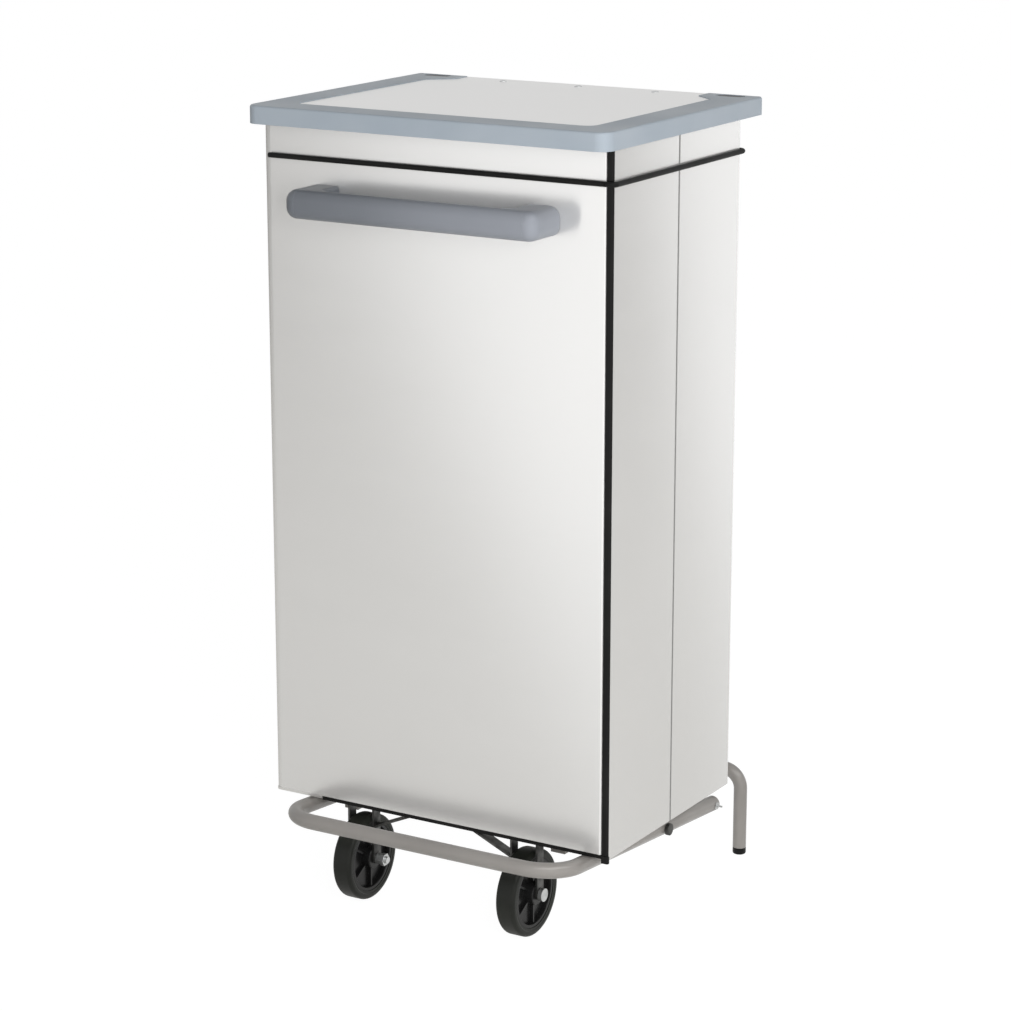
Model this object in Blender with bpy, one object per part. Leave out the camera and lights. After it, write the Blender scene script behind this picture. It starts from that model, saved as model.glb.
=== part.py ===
"""Pedal bin of folded stainless sheet with a hinged front door, a lid that a push rod lifts,
two fixed wheels under the front and a tubular leg frame behind.

Metres, x to the right, y to the back, z up. The pieces are laid out round the middle of the body,
and the whole bin is then shifted so that the middle of its footprint lies over the origin.
"""
import math

import bmesh
import bpy
from mathutils import Vector

for old in list(bpy.data.objects):
    bpy.data.objects.remove(old, do_unlink=True)

# Clearances
FIT = 0.0003
PIN_PLAY = 0.0004
DOOR_PLAY = 0.0005

# Facets of a full turn, and angles in degrees that smoothing and softening start from
SMALL_ROUND = 12
ROUND = 24
HUB_ROUND = 36
TYRE_ROUND = 48
BAND_SIDES = 10
TUBE_SIDES = 12
SMOOTH_ANGLE = 35.0
SOFTEN_ANGLE = 60.0

# Body of folded sheet
SHEET = 0.0012
BODY_WIDTH = 0.442
BODY_DEPTH = 0.292
BODY_HEIGHT = 0.7855
FOLD_RADIUS = 0.004
SEAM_FLANGE = 0.012
PAN_RIM = 0.013

# Door and its frame
DOOR_THICKNESS = 0.024
DOOR_RAISE = 0.005
DOOR_HEAD = 0.0115
DOOR_LIP = 0.019
DOOR_EDGE_RADIUS = 0.003
SEAL_WIDTH = 0.0075
SEAL_NOSE_RADIUS = 0.0025
SEAL_PLUG_LENGTH = 0.009
SEAL_PLUG_RIM = 0.001
SILL_SETBACK = 0.0015
FRAME_SHEET = 0.002
FRAME_STILE = 0.029
FRAME_HEAD = 0.030
FRAME_SILL = 0.036
SIDE_EDGE_STEP = 0.0055
HINGE_PLATE = 0.003
HINGE_PLATE_GAP = 0.0006
HINGE_PLATE_REACH = 0.054
HINGE_PIN_RADIUS = 0.003
HINGE_PIN_HEAD = 0.0015
BUSH_LENGTH = 0.020

# Handle on the door
HANDLE_WIDTH = 0.316
HANDLE_ARM = 0.039
HANDLE_REACH = 0.054
HANDLE_BAR = 0.018
HANDLE_HEIGHT = 0.032
HANDLE_DROP = 0.0765
HANDLE_OUTER_RADIUS = 0.014
HANDLE_INNER_RADIUS = 0.012
HANDLE_SOFTEN = 0.006
SCREW_RADIUS = 0.0025
SCREW_HEAD_RADIUS = 0.0055
SCREW_HEAD = 0.003
SCREW_DEPTH = 0.014

# Elastic bag band
BAND_RADIUS = 0.0029
BAND_DROP = 0.044
BAND_GAP = 0.0008

# Lid
LID_HEIGHT = 0.0202
LID_LAP = 0.0082
LID_FRONT_OVERHANG = 0.024
LID_SIDE_OVERHANG = 0.0055
LID_REAR_MARGIN = 0.009
LID_BAR = 0.040
LID_LEDGE = 0.008
LID_SKIRT = 0.0025
LID_FLANGE = 0.0075
LID_PLATE = 0.0015
LID_PLATE_SINK = 0.001
LID_FRONT_RADIUS = 0.016
LID_REAR_RADIUS = 0.004
LID_INNER_RADIUS = 0.012
STUB_LENGTH = 0.0665
STUB_DEPTH = 0.028
STUB_SLANT = 0.022
SLOT_LENGTH = 0.034
SLOT_WIDTH = 0.016
SLOT_DEPTH = 0.004
BUFFER_WIDTH = 0.008
BUFFER_INSET = 0.060
RIVET_END = 0.0155
RIVET_RADIUS = 0.002
RIVET_HEAD_RADIUS = 0.0045
RIVET_HEAD = 0.0007
RIVET_MARGIN = 0.008

# Lid hinge and lift
LID_OPEN = 75.0
HINGE_DROP = 0.014
LEAF_SHEET = 0.002
LEAF_WEB = 0.004
LEAF_WIDTH = 0.231
BARREL_RADIUS = 0.0065
LID_PIN_RADIUS = 0.004
LID_PIN_OVERHANG = 0.007
ARM_PLATE = 0.004
ARM_FOOT = 0.030
ARM_FOOT_SHEET = 0.002
ARM_BAND_GAP = 0.003
ROD_SETBACK = 0.013
ROD_THICKNESS = 0.005
ROD_WIDTH = 0.010
ROD_EYE_WALL = 0.0035
ROD_EYE_PLAY = 0.0007
ROD_SIDE_GAP = 0.0008
LEVER_GAP = 0.0032
LEVER_PLATE = 0.003
LEVER_TIP_RADIUS = 0.006
LEVER_FOOT_WIDTH = 0.014
LEVER_FOOT_LENGTH = 0.021
LIFT_PIN_RADIUS = 0.003
GUIDE_HEIGHT = 0.024
GUIDE_WALL = 0.004
GUIDE_LOW = 0.19
GUIDE_HIGH = 0.60

# Foot pedal
PEDAL_RADIUS = 0.009
PEDAL_REACH = 0.056
PEDAL_DROP = 0.0045
PEDAL_INSET = 0.031
PEDAL_LEFT_INSET = 0.048
PEDAL_BEND = 0.044
PEDAL_SLOPE = 0.089
PEDAL_PIVOT_BACK = 0.035
PEDAL_TAIL = 0.0075
PEDAL_PRESS = 12.5
PEDAL_PIN_TIP = 0.006
PEDAL_PIN_TIP_RADIUS = 0.0012
PIVOT_RADIUS = 0.004
PIVOT_HEAD_RADIUS = 0.007
PIVOT_HEAD = 0.004
PIVOT_PLATE = 0.003
PIVOT_PLATE_LENGTH = 0.040
PIVOT_PLATE_TIP = 0.011

# Wheels, forks and legs
WHEEL_DIAMETER = 0.100
TYRE_WIDTH = 0.024
TYRE_DEPTH = 0.010
TYRE_SHOULDER = 0.004
HUB_RIM = 0.004
HUB_WEB = 0.010
HUB_BOSS_RADIUS = 0.013
HUB_BOSS_WIDTH = 0.030
WHEEL_INSET = 0.1125
WHEEL_SETBACK = 0.018
WHEEL_ROOM = 0.0112
AXLE_RADIUS = 0.004
AXLE_HEAD_RADIUS = 0.0075
AXLE_HEAD = 0.005
AXLE_TAIL = 0.003
AXLE_COLLAR = 0.006
AXLE_COLLAR_WALL = 0.0022
FORK_SHEET = 0.003
FORK_LEG = 0.0025
FORK_CROWN_BACK = 0.039
FORK_LEG_WIDTH = 0.0135
FORK_STAY_RUN = 0.052
FORK_STAY_DROP = 0.0235
FORK_STAY_FOOT = 0.010
FORK_RIVET_SETBACK = 0.026
FORK_RIVET_RADIUS = 0.0025
FORK_RIVET_HEAD_RADIUS = 0.0045
FORK_RIVET_HEAD = 0.002
LEG_RADIUS = 0.008
LEG_SETBACK = 0.071
LEG_INSET = 0.0195
LEG_BEND = 0.022
LEG_BAR_DROP = 0.0105
FOOT_PLUG = 0.008
FOOT_PLUG_ROUND = 0.002
RAIL_INSET = 0.083
RAIL_WIDTH = 0.018
RAIL_HEIGHT = 0.0187
RAIL_FRONT_INSET = 0.036

# Heights and planes that follow
half_width = BODY_WIDTH / 2
front = -BODY_DEPTH / 2
rear = BODY_DEPTH / 2
axle_z = WHEEL_DIAMETER / 2
body_bottom = WHEEL_DIAMETER + WHEEL_ROOM + FORK_SHEET + FIT
body_top = body_bottom + BODY_HEIGHT
door_bottom = body_bottom + DOOR_RAISE
door_top = body_top - DOOR_HEAD
door_back = front + DOOR_THICKNESS
door_nose = DOOR_THICKNESS / 2
door_axis_x = -half_width + door_nose
door_axis_y = front + door_nose
seal_left = half_width - SEAL_WIDTH
door_right = seal_left - DOOR_PLAY
frame_front = door_back + DOOR_PLAY
frame_back = frame_front + FRAME_SHEET
band_z = body_top - BAND_DROP
lid_bottom = body_top - LID_LAP
lid_top = lid_bottom + LID_HEIGHT
lid_under = lid_top - LID_FLANGE
lid_front = front - LID_FRONT_OVERHANG
lid_half = half_width + LID_SIDE_OVERHANG
plate_top = lid_top - LID_PLATE_SINK
plate_bottom = plate_top - LID_PLATE

# Pedal line, seen from the side, and the lift that it gives
pedal_front_y = front - PEDAL_REACH
pedal_front_z = body_bottom - PEDAL_DROP
pedal_right = half_width - PEDAL_INSET
pedal_left = half_width - PEDAL_LEFT_INSET
rod_y = rear + ROD_SETBACK


def pedal_height(y):
    """Height of the pedal tube's middle line at a depth."""
    return pedal_front_z - PEDAL_SLOPE * (y - pedal_front_y)


pivot_y = PEDAL_PIVOT_BACK
pivot_z = pedal_height(pivot_y)
pedal_pin_z = pedal_height(rod_y)
pedal_end_y = rod_y + PEDAL_TAIL
tail_reach = math.hypot(rod_y - pivot_y, pedal_pin_z - pivot_z)
tail_rest = math.atan2(pedal_pin_z - pivot_z, rod_y - pivot_y)
tail_raised = tail_rest + math.radians(PEDAL_PRESS)
lift = tail_reach * (math.sin(tail_raised) - math.sin(tail_rest))
pedal_sway = tail_reach * (1 - math.cos(tail_raised))

# The lever swings as far above its axis as it hangs below it, so its lift is nearly even
half_swing = math.radians(LID_OPEN) / 2
lever_reach = lift / (2 * math.sin(half_swing))
lid_axis_y = rod_y + lever_reach * (1 + math.cos(half_swing)) / 2
lid_axis_z = body_top - HINGE_DROP
lever_pin_y = lid_axis_y - lever_reach * math.cos(half_swing)
lever_pin_z = lid_axis_z - lever_reach * math.sin(half_swing)
lever_sway = lever_reach * (1 - math.cos(half_swing)) / 2
lid_rear = lid_axis_y + LID_REAR_MARGIN
rod_right = pedal_right - PEDAL_RADIUS - ROD_SIDE_GAP
rod_left = rod_right - ROD_THICKNESS
lever_left = rod_right + LEVER_GAP
lever_right = lever_left + LEVER_PLATE
lever_middle = (lever_left + lever_right) / 2
leg_y = rear + LEG_SETBACK
leg_half = half_width - LEG_INSET
leg_bar_z = body_bottom - LEG_BAR_DROP
footprint_middle = (pedal_front_y - PEDAL_RADIUS + leg_y + LEG_RADIUS) / 2

# Finishes: colour, roughness, metallic
STEEL = ((0.78, 0.78, 0.76), 0.32, 1.0)
ZINC = ((0.62, 0.63, 0.63), 0.38, 1.0)
GREY_PLASTIC = ((0.36, 0.41, 0.46), 0.45, 0.0)
DARK_PLASTIC = ((0.22, 0.25, 0.30), 0.45, 0.0)
WHITE_NYLON = ((0.80, 0.80, 0.77), 0.50, 0.0)
BLACK_RUBBER = ((0.018, 0.018, 0.018), 0.60, 0.0)
PAINTED_TUBE = ((0.32, 0.30, 0.28), 0.42, 0.0)


def empty(name, place, parent=None):
    """A named frame for the pieces that move together, with its origin on their axis."""
    holder = bpy.data.objects.new(name, None)
    bpy.context.scene.collection.objects.link(holder)
    holder.parent = parent
    holder["rest"] = place
    holder.location = Vector(place) - Vector(parent["rest"] if parent else (0, 0, 0))
    return holder


def finish_material(name, finish):
    """A material of the piece's own."""
    colour, roughness, metallic = finish
    made = bpy.data.materials.new(name)
    made.use_nodes = True
    shader = made.node_tree.nodes["Principled BSDF"]
    shader.inputs["Base Color"].default_value = (*colour, 1.0)
    shader.inputs["Roughness"].default_value = roughness
    shader.inputs["Metallic"].default_value = metallic
    return made


def add_object(name, solid, holder):
    """Put a solid, laid out round the body, under its frame as an object."""
    mesh = bpy.data.meshes.new(name)
    bmesh.ops.translate(solid, verts=solid.verts, vec=-Vector(holder["rest"]))
    solid.to_mesh(mesh)
    solid.free()
    made = bpy.data.objects.new(name, mesh)
    made.parent = holder
    bpy.context.scene.collection.objects.link(made)
    return made


def piece(name, solid, finish, holder):
    """A visible piece of the bin."""
    made = add_object(name, solid, holder)
    made.data.materials.append(finish_material(name, finish))
    made.data.shade_smooth()
    made.data.set_sharp_from_angle(angle=math.radians(SMOOTH_ANGLE))
    return made


def combine(target, solids, operation, holder):
    """Cut solids out of a piece, or weld them onto it."""
    for number, solid in enumerate(solids):
        label = f"{target.name}_{operation.lower()}_{len(target.modifiers)}_{number}"
        tool = add_object(label, solid, holder)
        tool.hide_render = True
        tool.display_type = "WIRE"
        step = target.modifiers.new(label, "BOOLEAN")
        step.operation = operation
        step.object = tool


def place(axis, along, u, v):
    """A point from its distance along an axis and its two other coordinates in x, y, z order."""
    if axis == "X":
        return Vector((along, u, v))
    if axis == "Y":
        return Vector((u, along, v))
    return Vector((u, v, along))


def arc(centre, radius, start, end, steps):
    """Points on an arc, angles in degrees."""
    angles = [math.radians(start + (end - start) * i / steps) for i in range(steps + 1)]
    return [(centre[0] + radius * math.cos(a), centre[1] + radius * math.sin(a)) for a in angles]


def rectangle(low_u, low_v, high_u, high_v):
    """Corner points of a rectangle."""
    return [(low_u, low_v), (high_u, low_v), (high_u, high_v), (low_u, high_v)]


def rounded(low_u, low_v, high_u, high_v, radii, steps=6):
    """A rectangle with a radius at each corner, from the lower left one round."""
    first, second, third, fourth = radii
    points = arc((low_u + first, low_v + first), first, 180, 270, steps)
    points += arc((high_u - second, low_v + second), second, 270, 360, steps)
    points += arc((high_u - third, high_v - third), third, 0, 90, steps)
    points += arc((low_u + fourth, high_v - fourth), fourth, 90, 180, steps)
    return points


def oblong(middle_u, middle_v, half_length, radius, steps=8):
    """A slot outline that is long in the first direction."""
    reach = half_length - radius
    points = arc((middle_u + reach, middle_v), radius, -90, 90, steps)
    points += arc((middle_u - reach, middle_v), radius, 90, 270, steps)
    return points


def bent_sheet(path, thickness):
    """Outline of a folded sheet from its outer line; the thickness lies to the line's left."""
    inner = []
    for number, (u, v) in enumerate(path):
        before = path[max(number - 1, 0)]
        after = path[min(number + 1, len(path) - 1)]
        normals = []
        for (a, b), (c, d) in ((before, (u, v)), ((u, v), after)):
            length = math.hypot(c - a, d - b)
            if length > 1e-9:
                normals.append(Vector((-(d - b) / length, (c - a) / length)))
        mitre = sum(normals, Vector((0, 0))).normalized()
        shift = mitre * (thickness / mitre.dot(normals[0]))
        inner.append((u + shift.x, v + shift.y))
    return list(path) + inner[::-1]


def prism(outline, axis, low, high):
    """A flat outline given thickness along an axis."""
    made = bmesh.new()
    face = made.faces.new([made.verts.new(place(axis, low, u, v)) for u, v in outline])
    swept = bmesh.ops.extrude_face_region(made, geom=[face])
    moved = [item for item in swept["geom"] if isinstance(item, bmesh.types.BMVert)]
    bmesh.ops.translate(made, verts=moved, vec=place(axis, high - low, 0, 0))
    bmesh.ops.recalc_face_normals(made, faces=made.faces)
    return made


def turned(profile, axis, centre, steps):
    """A profile of (distance along the axis, radius) points turned once round the axis."""
    made = bmesh.new()
    spin_axis = place(axis, 1, 0, 0)
    points = [made.verts.new(Vector(centre) + place(axis, along, radius, 0)) for along, radius in profile]
    edges = [made.edges.new(pair) for pair in zip(points, points[1:])]
    if profile[0][1] > 0:
        edges.append(made.edges.new((points[-1], points[0])))
    bmesh.ops.spin(made, geom=points + edges, cent=Vector(centre), axis=spin_axis, angle=2 * math.pi,
                   steps=steps, use_merge=True, use_duplicate=False)
    bmesh.ops.remove_doubles(made, verts=made.verts, dist=1e-6)
    bmesh.ops.recalc_face_normals(made, faces=made.faces)
    return made


def rod(axis, centre, radius, low, high, steps=ROUND):
    """A plain round bar along an axis, from one distance to another."""
    return turned([(low, 0), (low, radius), (high, radius), (high, 0)], axis, centre, steps)


def headed_pin(axis, centre, radius, low, high, head_radius, head, steps=ROUND):
    """A round pin whose head sits at its high end, or at its low end where head is negative."""
    if head > 0:
        profile = [(low, 0), (low, radius), (high, radius), (high, head_radius), (high + head, head_radius),
                   (high + head, 0)]
    else:
        profile = [(low + head, 0), (low + head, head_radius), (low, head_radius), (low, radius),
                   (high, radius), (high, 0)]
    return turned(profile, axis, centre, steps)


def tube(points, radius, sides=TUBE_SIDES):
    """A bent bar through points, swept from a curve with a round section and closed ends."""
    curve = bpy.data.curves.new("bend", "CURVE")
    curve.dimensions = "3D"
    curve.bevel_depth = radius
    curve.bevel_resolution = sides // 2 - 2
    curve.use_fill_caps = True
    line = curve.splines.new("POLY")
    line.points.add(len(points) - 1)
    for knot, point in zip(line.points, points):
        knot.co = (*point, 1.0)
    holder = bpy.data.objects.new("bend", curve)
    bpy.context.scene.collection.objects.link(holder)
    mesh = bpy.data.meshes.new_from_object(holder.evaluated_get(bpy.context.evaluated_depsgraph_get()))
    made = bmesh.new()
    made.from_mesh(mesh)
    bmesh.ops.remove_doubles(made, verts=made.verts, dist=1e-6)
    bmesh.ops.recalc_face_normals(made, faces=made.faces)
    bpy.data.objects.remove(holder, do_unlink=True)
    bpy.data.curves.remove(curve)
    bpy.data.meshes.remove(mesh)
    return made


def mirrored(points):
    """The same points on the other side of the middle plane."""
    return [(-u, v) for u, v in points][::-1]


SIDES = (("left", -1), ("right", 1))

stand = empty("stand", (0, 0, 0))
stand.location.y = -footprint_middle
door_hinge = empty("door_hinge", (door_axis_x, door_axis_y, door_bottom), stand)
lid_hinge = empty("lid_hinge", (0, lid_axis_y, lid_axis_z), stand)
pedal_pivot = empty("pedal_pivot", (0, pivot_y, pivot_z), stand)
rod_guide_line = empty("rod_guide_line", ((rod_left + rod_right) / 2, rod_y, pedal_pin_z), stand)


def build_body():
    """Folded sides and back, floor pan and door frame."""
    inside = half_width - SHEET
    right_edge = front + SEAL_NOSE_RADIUS + FIT
    left_edge = door_back - SIDE_EDGE_STEP
    flange = half_width - SEAM_FLANGE
    right = [(half_width, right_edge), (half_width, -FIT), (flange, -FIT)]
    left = [(-flange, -FIT), (-half_width, -FIT), (-half_width, left_edge)]
    piece("side_panel_right", prism(bent_sheet(right, SHEET), "Z", body_bottom, body_top), STEEL, stand)
    piece("side_panel_left", prism(bent_sheet(left, SHEET), "Z", body_bottom, body_top), STEEL, stand)

    bend_x = half_width - FOLD_RADIUS
    bend_y = rear - FOLD_RADIUS
    back = [(flange, FIT), (half_width, FIT)]
    back += arc((bend_x, bend_y), FOLD_RADIUS, 0, 90, 4)
    back += mirrored(back)
    piece("rear_shell", prism(bent_sheet(back, SHEET), "Z", body_bottom, body_top), STEEL, stand)

    pan_half = inside - FIT
    pan_front = frame_back + FIT
    pan_rear = rear - SHEET - FIT
    outline = rounded(-pan_half, pan_front, pan_half, pan_rear, (FOLD_RADIUS,) * 4, 3)
    hollow = rounded(-pan_half + SHEET, pan_front + SHEET, pan_half - SHEET, pan_rear - SHEET,
                     (FOLD_RADIUS - SHEET,) * 4, 3)
    pan = piece("floor_pan", prism(outline, "Z", body_bottom, body_bottom + PAN_RIM), STEEL, stand)
    cuts = [prism(hollow, "Z", body_bottom + SHEET, body_bottom + 2 * PAN_RIM)]
    notch = SHEET + 2 * FIT
    for _, side in SIDES:
        low, high = sorted((side * (flange - FIT), side * half_width))
        cuts.append(prism(rectangle(low, -notch, high, notch), "Z", 0, body_top))
    for x, y in fork_rivet_places():
        cuts.append(rod("Z", (x, y, 0), FORK_RIVET_RADIUS + FIT, 0, body_bottom + PAN_RIM / 2,
                        SMALL_ROUND))
    combine(pan, cuts, "DIFFERENCE", stand)

    frame_half = inside - FIT
    stile = frame_half - FRAME_STILE
    frame = piece("door_frame", prism(rectangle(-frame_half, body_bottom, frame_half, body_top), "Y",
                                       frame_front, frame_back), STEEL, stand)
    opening = rectangle(-stile, body_bottom + FRAME_SILL, stile, body_top - FRAME_HEAD)
    combine(frame, [prism(opening, "Y", frame_front - FRAME_SHEET, frame_back + FRAME_SHEET)], "DIFFERENCE",
            stand)


def build_seals():
    """Rubber that the door closes on: the strip at its right edge and the gasket under it."""
    stem = half_width - SHEET - FIT
    nose = arc((half_width - SEAL_NOSE_RADIUS, front + SEAL_NOSE_RADIUS), SEAL_NOSE_RADIUS, 270, 360, 4)
    section = [(seal_left, front)] + nose
    section += [(stem, front + SEAL_NOSE_RADIUS), (stem, frame_front - FIT), (seal_left, frame_front - FIT)]
    piece("seal_strip", prism(section, "Z", door_bottom, body_top), BLACK_RUBBER, stand)
    plug = rounded(seal_left, front - SEAL_PLUG_RIM, half_width + SEAL_PLUG_RIM, front + SEAL_NOSE_RADIUS,
                   (FIT, SEAL_NOSE_RADIUS, FIT, FIT), 4)
    piece("seal_plug", prism(plug, "Z", door_bottom - FIT - SEAL_PLUG_LENGTH, door_bottom - FIT),
          BLACK_RUBBER, stand)
    gasket = rectangle(front + SILL_SETBACK, body_bottom, frame_front - FIT, door_bottom - FIT)
    piece("sill_gasket", prism(gasket, "X", hinge_plate_right() + FIT, door_right), BLACK_RUBBER, stand)


def hinge_plate_right():
    """Right edge of the plates that carry the door's pins."""
    return door_axis_x + HINGE_PLATE_REACH


def build_door():
    """Door skin with a rolled hinge edge, its liner, bushes, pins and pin plates."""
    skin_edge = (door_right - DOOR_EDGE_RADIUS, front + DOOR_EDGE_RADIUS)
    skin = [(door_axis_x + DOOR_LIP, door_back)]
    skin += arc((door_axis_x, door_axis_y), door_nose, 90, 270, 12)
    skin += arc(skin_edge, DOOR_EDGE_RADIUS, 270, 360, 3)
    skin.append((door_right, door_back))
    folded = prism(bent_sheet(skin, SHEET), "Z", door_bottom, door_top)
    panel = piece("door_panel", folded, STEEL, door_hinge)
    holes = [rod("Y", (x, 0, z), SCREW_RADIUS + FIT, front - SHEET, front + 2 * SHEET, SMALL_ROUND)
             for x, z in handle_screw_places()]
    combine(panel, holes, "DIFFERENCE", door_hinge)

    tray = front + max(DOOR_EDGE_RADIUS, SHEET + FIT)
    liner = [(tray, door_bottom), (door_back, door_bottom), (door_back, door_top), (tray, door_top)]
    piece("door_liner", prism(bent_sheet(liner, SHEET), "X", door_axis_x + DOOR_LIP + FIT,
                               door_right - SHEET - FIT), STEEL, door_hinge)

    bush_radius = door_nose - SHEET - FIT
    bore = HINGE_PIN_RADIUS + PIN_PLAY
    ends = ((door_bottom, door_bottom + BUSH_LENGTH, -1), (door_top - BUSH_LENGTH, door_top, 1))
    for (low, high, way), level in zip(ends, ("bottom", "top")):
        centre = (door_axis_x, door_axis_y, 0)
        sleeve = [(low, bore), (low, bush_radius), (high, bush_radius), (high, bore)]
        piece(f"hinge_bush_{level}", turned(sleeve, "Z", centre, ROUND), WHITE_NYLON, door_hinge)
        near = (high if way > 0 else low) + way * HINGE_PLATE_GAP
        far = near + way * HINGE_PLATE
        plate_low, plate_high = sorted((near, far))
        head = far + way * FIT
        tip = near - way * BUSH_LENGTH
        pin_low, pin_high = sorted((head, tip))
        pin = headed_pin("Z", centre, HINGE_PIN_RADIUS, pin_low, pin_high, HINGE_PIN_RADIUS + SHEET,
                         way * HINGE_PIN_HEAD)
        piece(f"hinge_pin_{level}", pin, ZINC, stand)
        outline = rounded(-half_width + SHEET, front + SHEET, hinge_plate_right(), frame_front - FIT,
                          (door_nose / 2, FIT, FIT, FIT), 4)
        plate = piece(f"hinge_plate_{level}", prism(outline, "Z", plate_low, plate_high), STEEL, stand)
        hole = rod("Z", centre, HINGE_PIN_RADIUS + FIT, plate_low - SHEET, plate_high + SHEET)
        combine(plate, [hole], "DIFFERENCE", stand)


def handle_screw_places():
    """Where the handle's screws go through the door skin."""
    across = (HANDLE_WIDTH - HANDLE_ARM) / 2
    return [(side * across, door_top - HANDLE_DROP) for _, side in SIDES]


def build_handle():
    """Moulded bow handle and the screws that hold it from inside the door."""
    half = HANDLE_WIDTH / 2
    inner = half - HANDLE_ARM
    foot = front - FIT
    face = front - HANDLE_REACH
    grip = face + HANDLE_BAR
    outer_radius = HANDLE_OUTER_RADIUS
    inner_radius = HANDLE_INNER_RADIUS
    outline = [(half, foot)]
    outline += arc((half - outer_radius, face + outer_radius), outer_radius, 0, -90, 8)
    outline += arc((-half + outer_radius, face + outer_radius), outer_radius, -90, -180, 8)
    outline += [(-half, foot), (-inner, foot)]
    outline += arc((-inner + inner_radius, grip + inner_radius), inner_radius, 180, 270, 4)
    outline += arc((inner - inner_radius, grip + inner_radius), inner_radius, 270, 360, 4)
    outline.append((inner, foot))
    middle = door_top - HANDLE_DROP
    low = middle - HANDLE_HEIGHT / 2
    handle = piece("door_handle", prism(outline, "Z", low, low + HANDLE_HEIGHT), DARK_PLASTIC, door_hinge)
    soften = handle.modifiers.new("soften", "BEVEL")
    soften.width = HANDLE_SOFTEN
    soften.segments = 2
    soften.limit_method = "ANGLE"
    soften.angle_limit = math.radians(SOFTEN_ANGLE)
    holes = [rod("Y", (x, 0, z), SCREW_RADIUS + FIT, foot - SCREW_DEPTH - FIT, foot + SHEET, SMALL_ROUND)
             for x, z in handle_screw_places()]
    combine(handle, holes, "DIFFERENCE", door_hinge)
    seat = front + SHEET + FIT
    for (label, _), (x, z) in zip(SIDES, handle_screw_places()):
        screw = headed_pin("Y", (x, 0, z), SCREW_RADIUS, foot - SCREW_DEPTH, seat, SCREW_HEAD_RADIUS,
                           SCREW_HEAD, SMALL_ROUND)
        piece(f"handle_screw_{label}", screw, ZINC, door_hinge)


def build_band():
    """Elastic band round the top of the body: one length on the door, one round the shell."""
    away = FIT + BAND_RADIUS
    on_door = [(door_axis_x, front - away, band_z), (door_right, front - away, band_z)]
    piece("band_front", tube(on_door, BAND_RADIUS, BAND_SIDES), BLACK_RUBBER, door_hinge)
    front_bend = arc((half_width - SEAL_NOSE_RADIUS, front + SEAL_NOSE_RADIUS), SEAL_NOSE_RADIUS + away,
                     270, 360, 6)
    rear_bend = arc((half_width - FOLD_RADIUS, rear - FOLD_RADIUS), FOLD_RADIUS + away, 0, 90, 6)
    route = [(door_right + BAND_GAP, front - away)] + front_bend + rear_bend + mirrored(rear_bend)
    route.append((-half_width - away, door_back - SIDE_EDGE_STEP + SHEET))
    piece("band_body", tube([(x, y, band_z) for x, y in route], BAND_RADIUS, BAND_SIDES), BLACK_RUBBER, stand)


def lid_opening(gap):
    """Plan of the lid plate's window, widened by a gap and open past the rear edge."""
    half = lid_half - LID_BAR + gap
    start = lid_front + LID_BAR - gap
    stub_x = lid_half - STUB_LENGTH + gap
    stub_y = lid_rear - STUB_DEPTH + gap
    radius = LID_INNER_RADIUS
    right = arc((half - radius, start + radius), radius, 270, 360, 5)
    right += [(half, stub_y - STUB_SLANT), (stub_x, stub_y)]
    return right, stub_x


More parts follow.
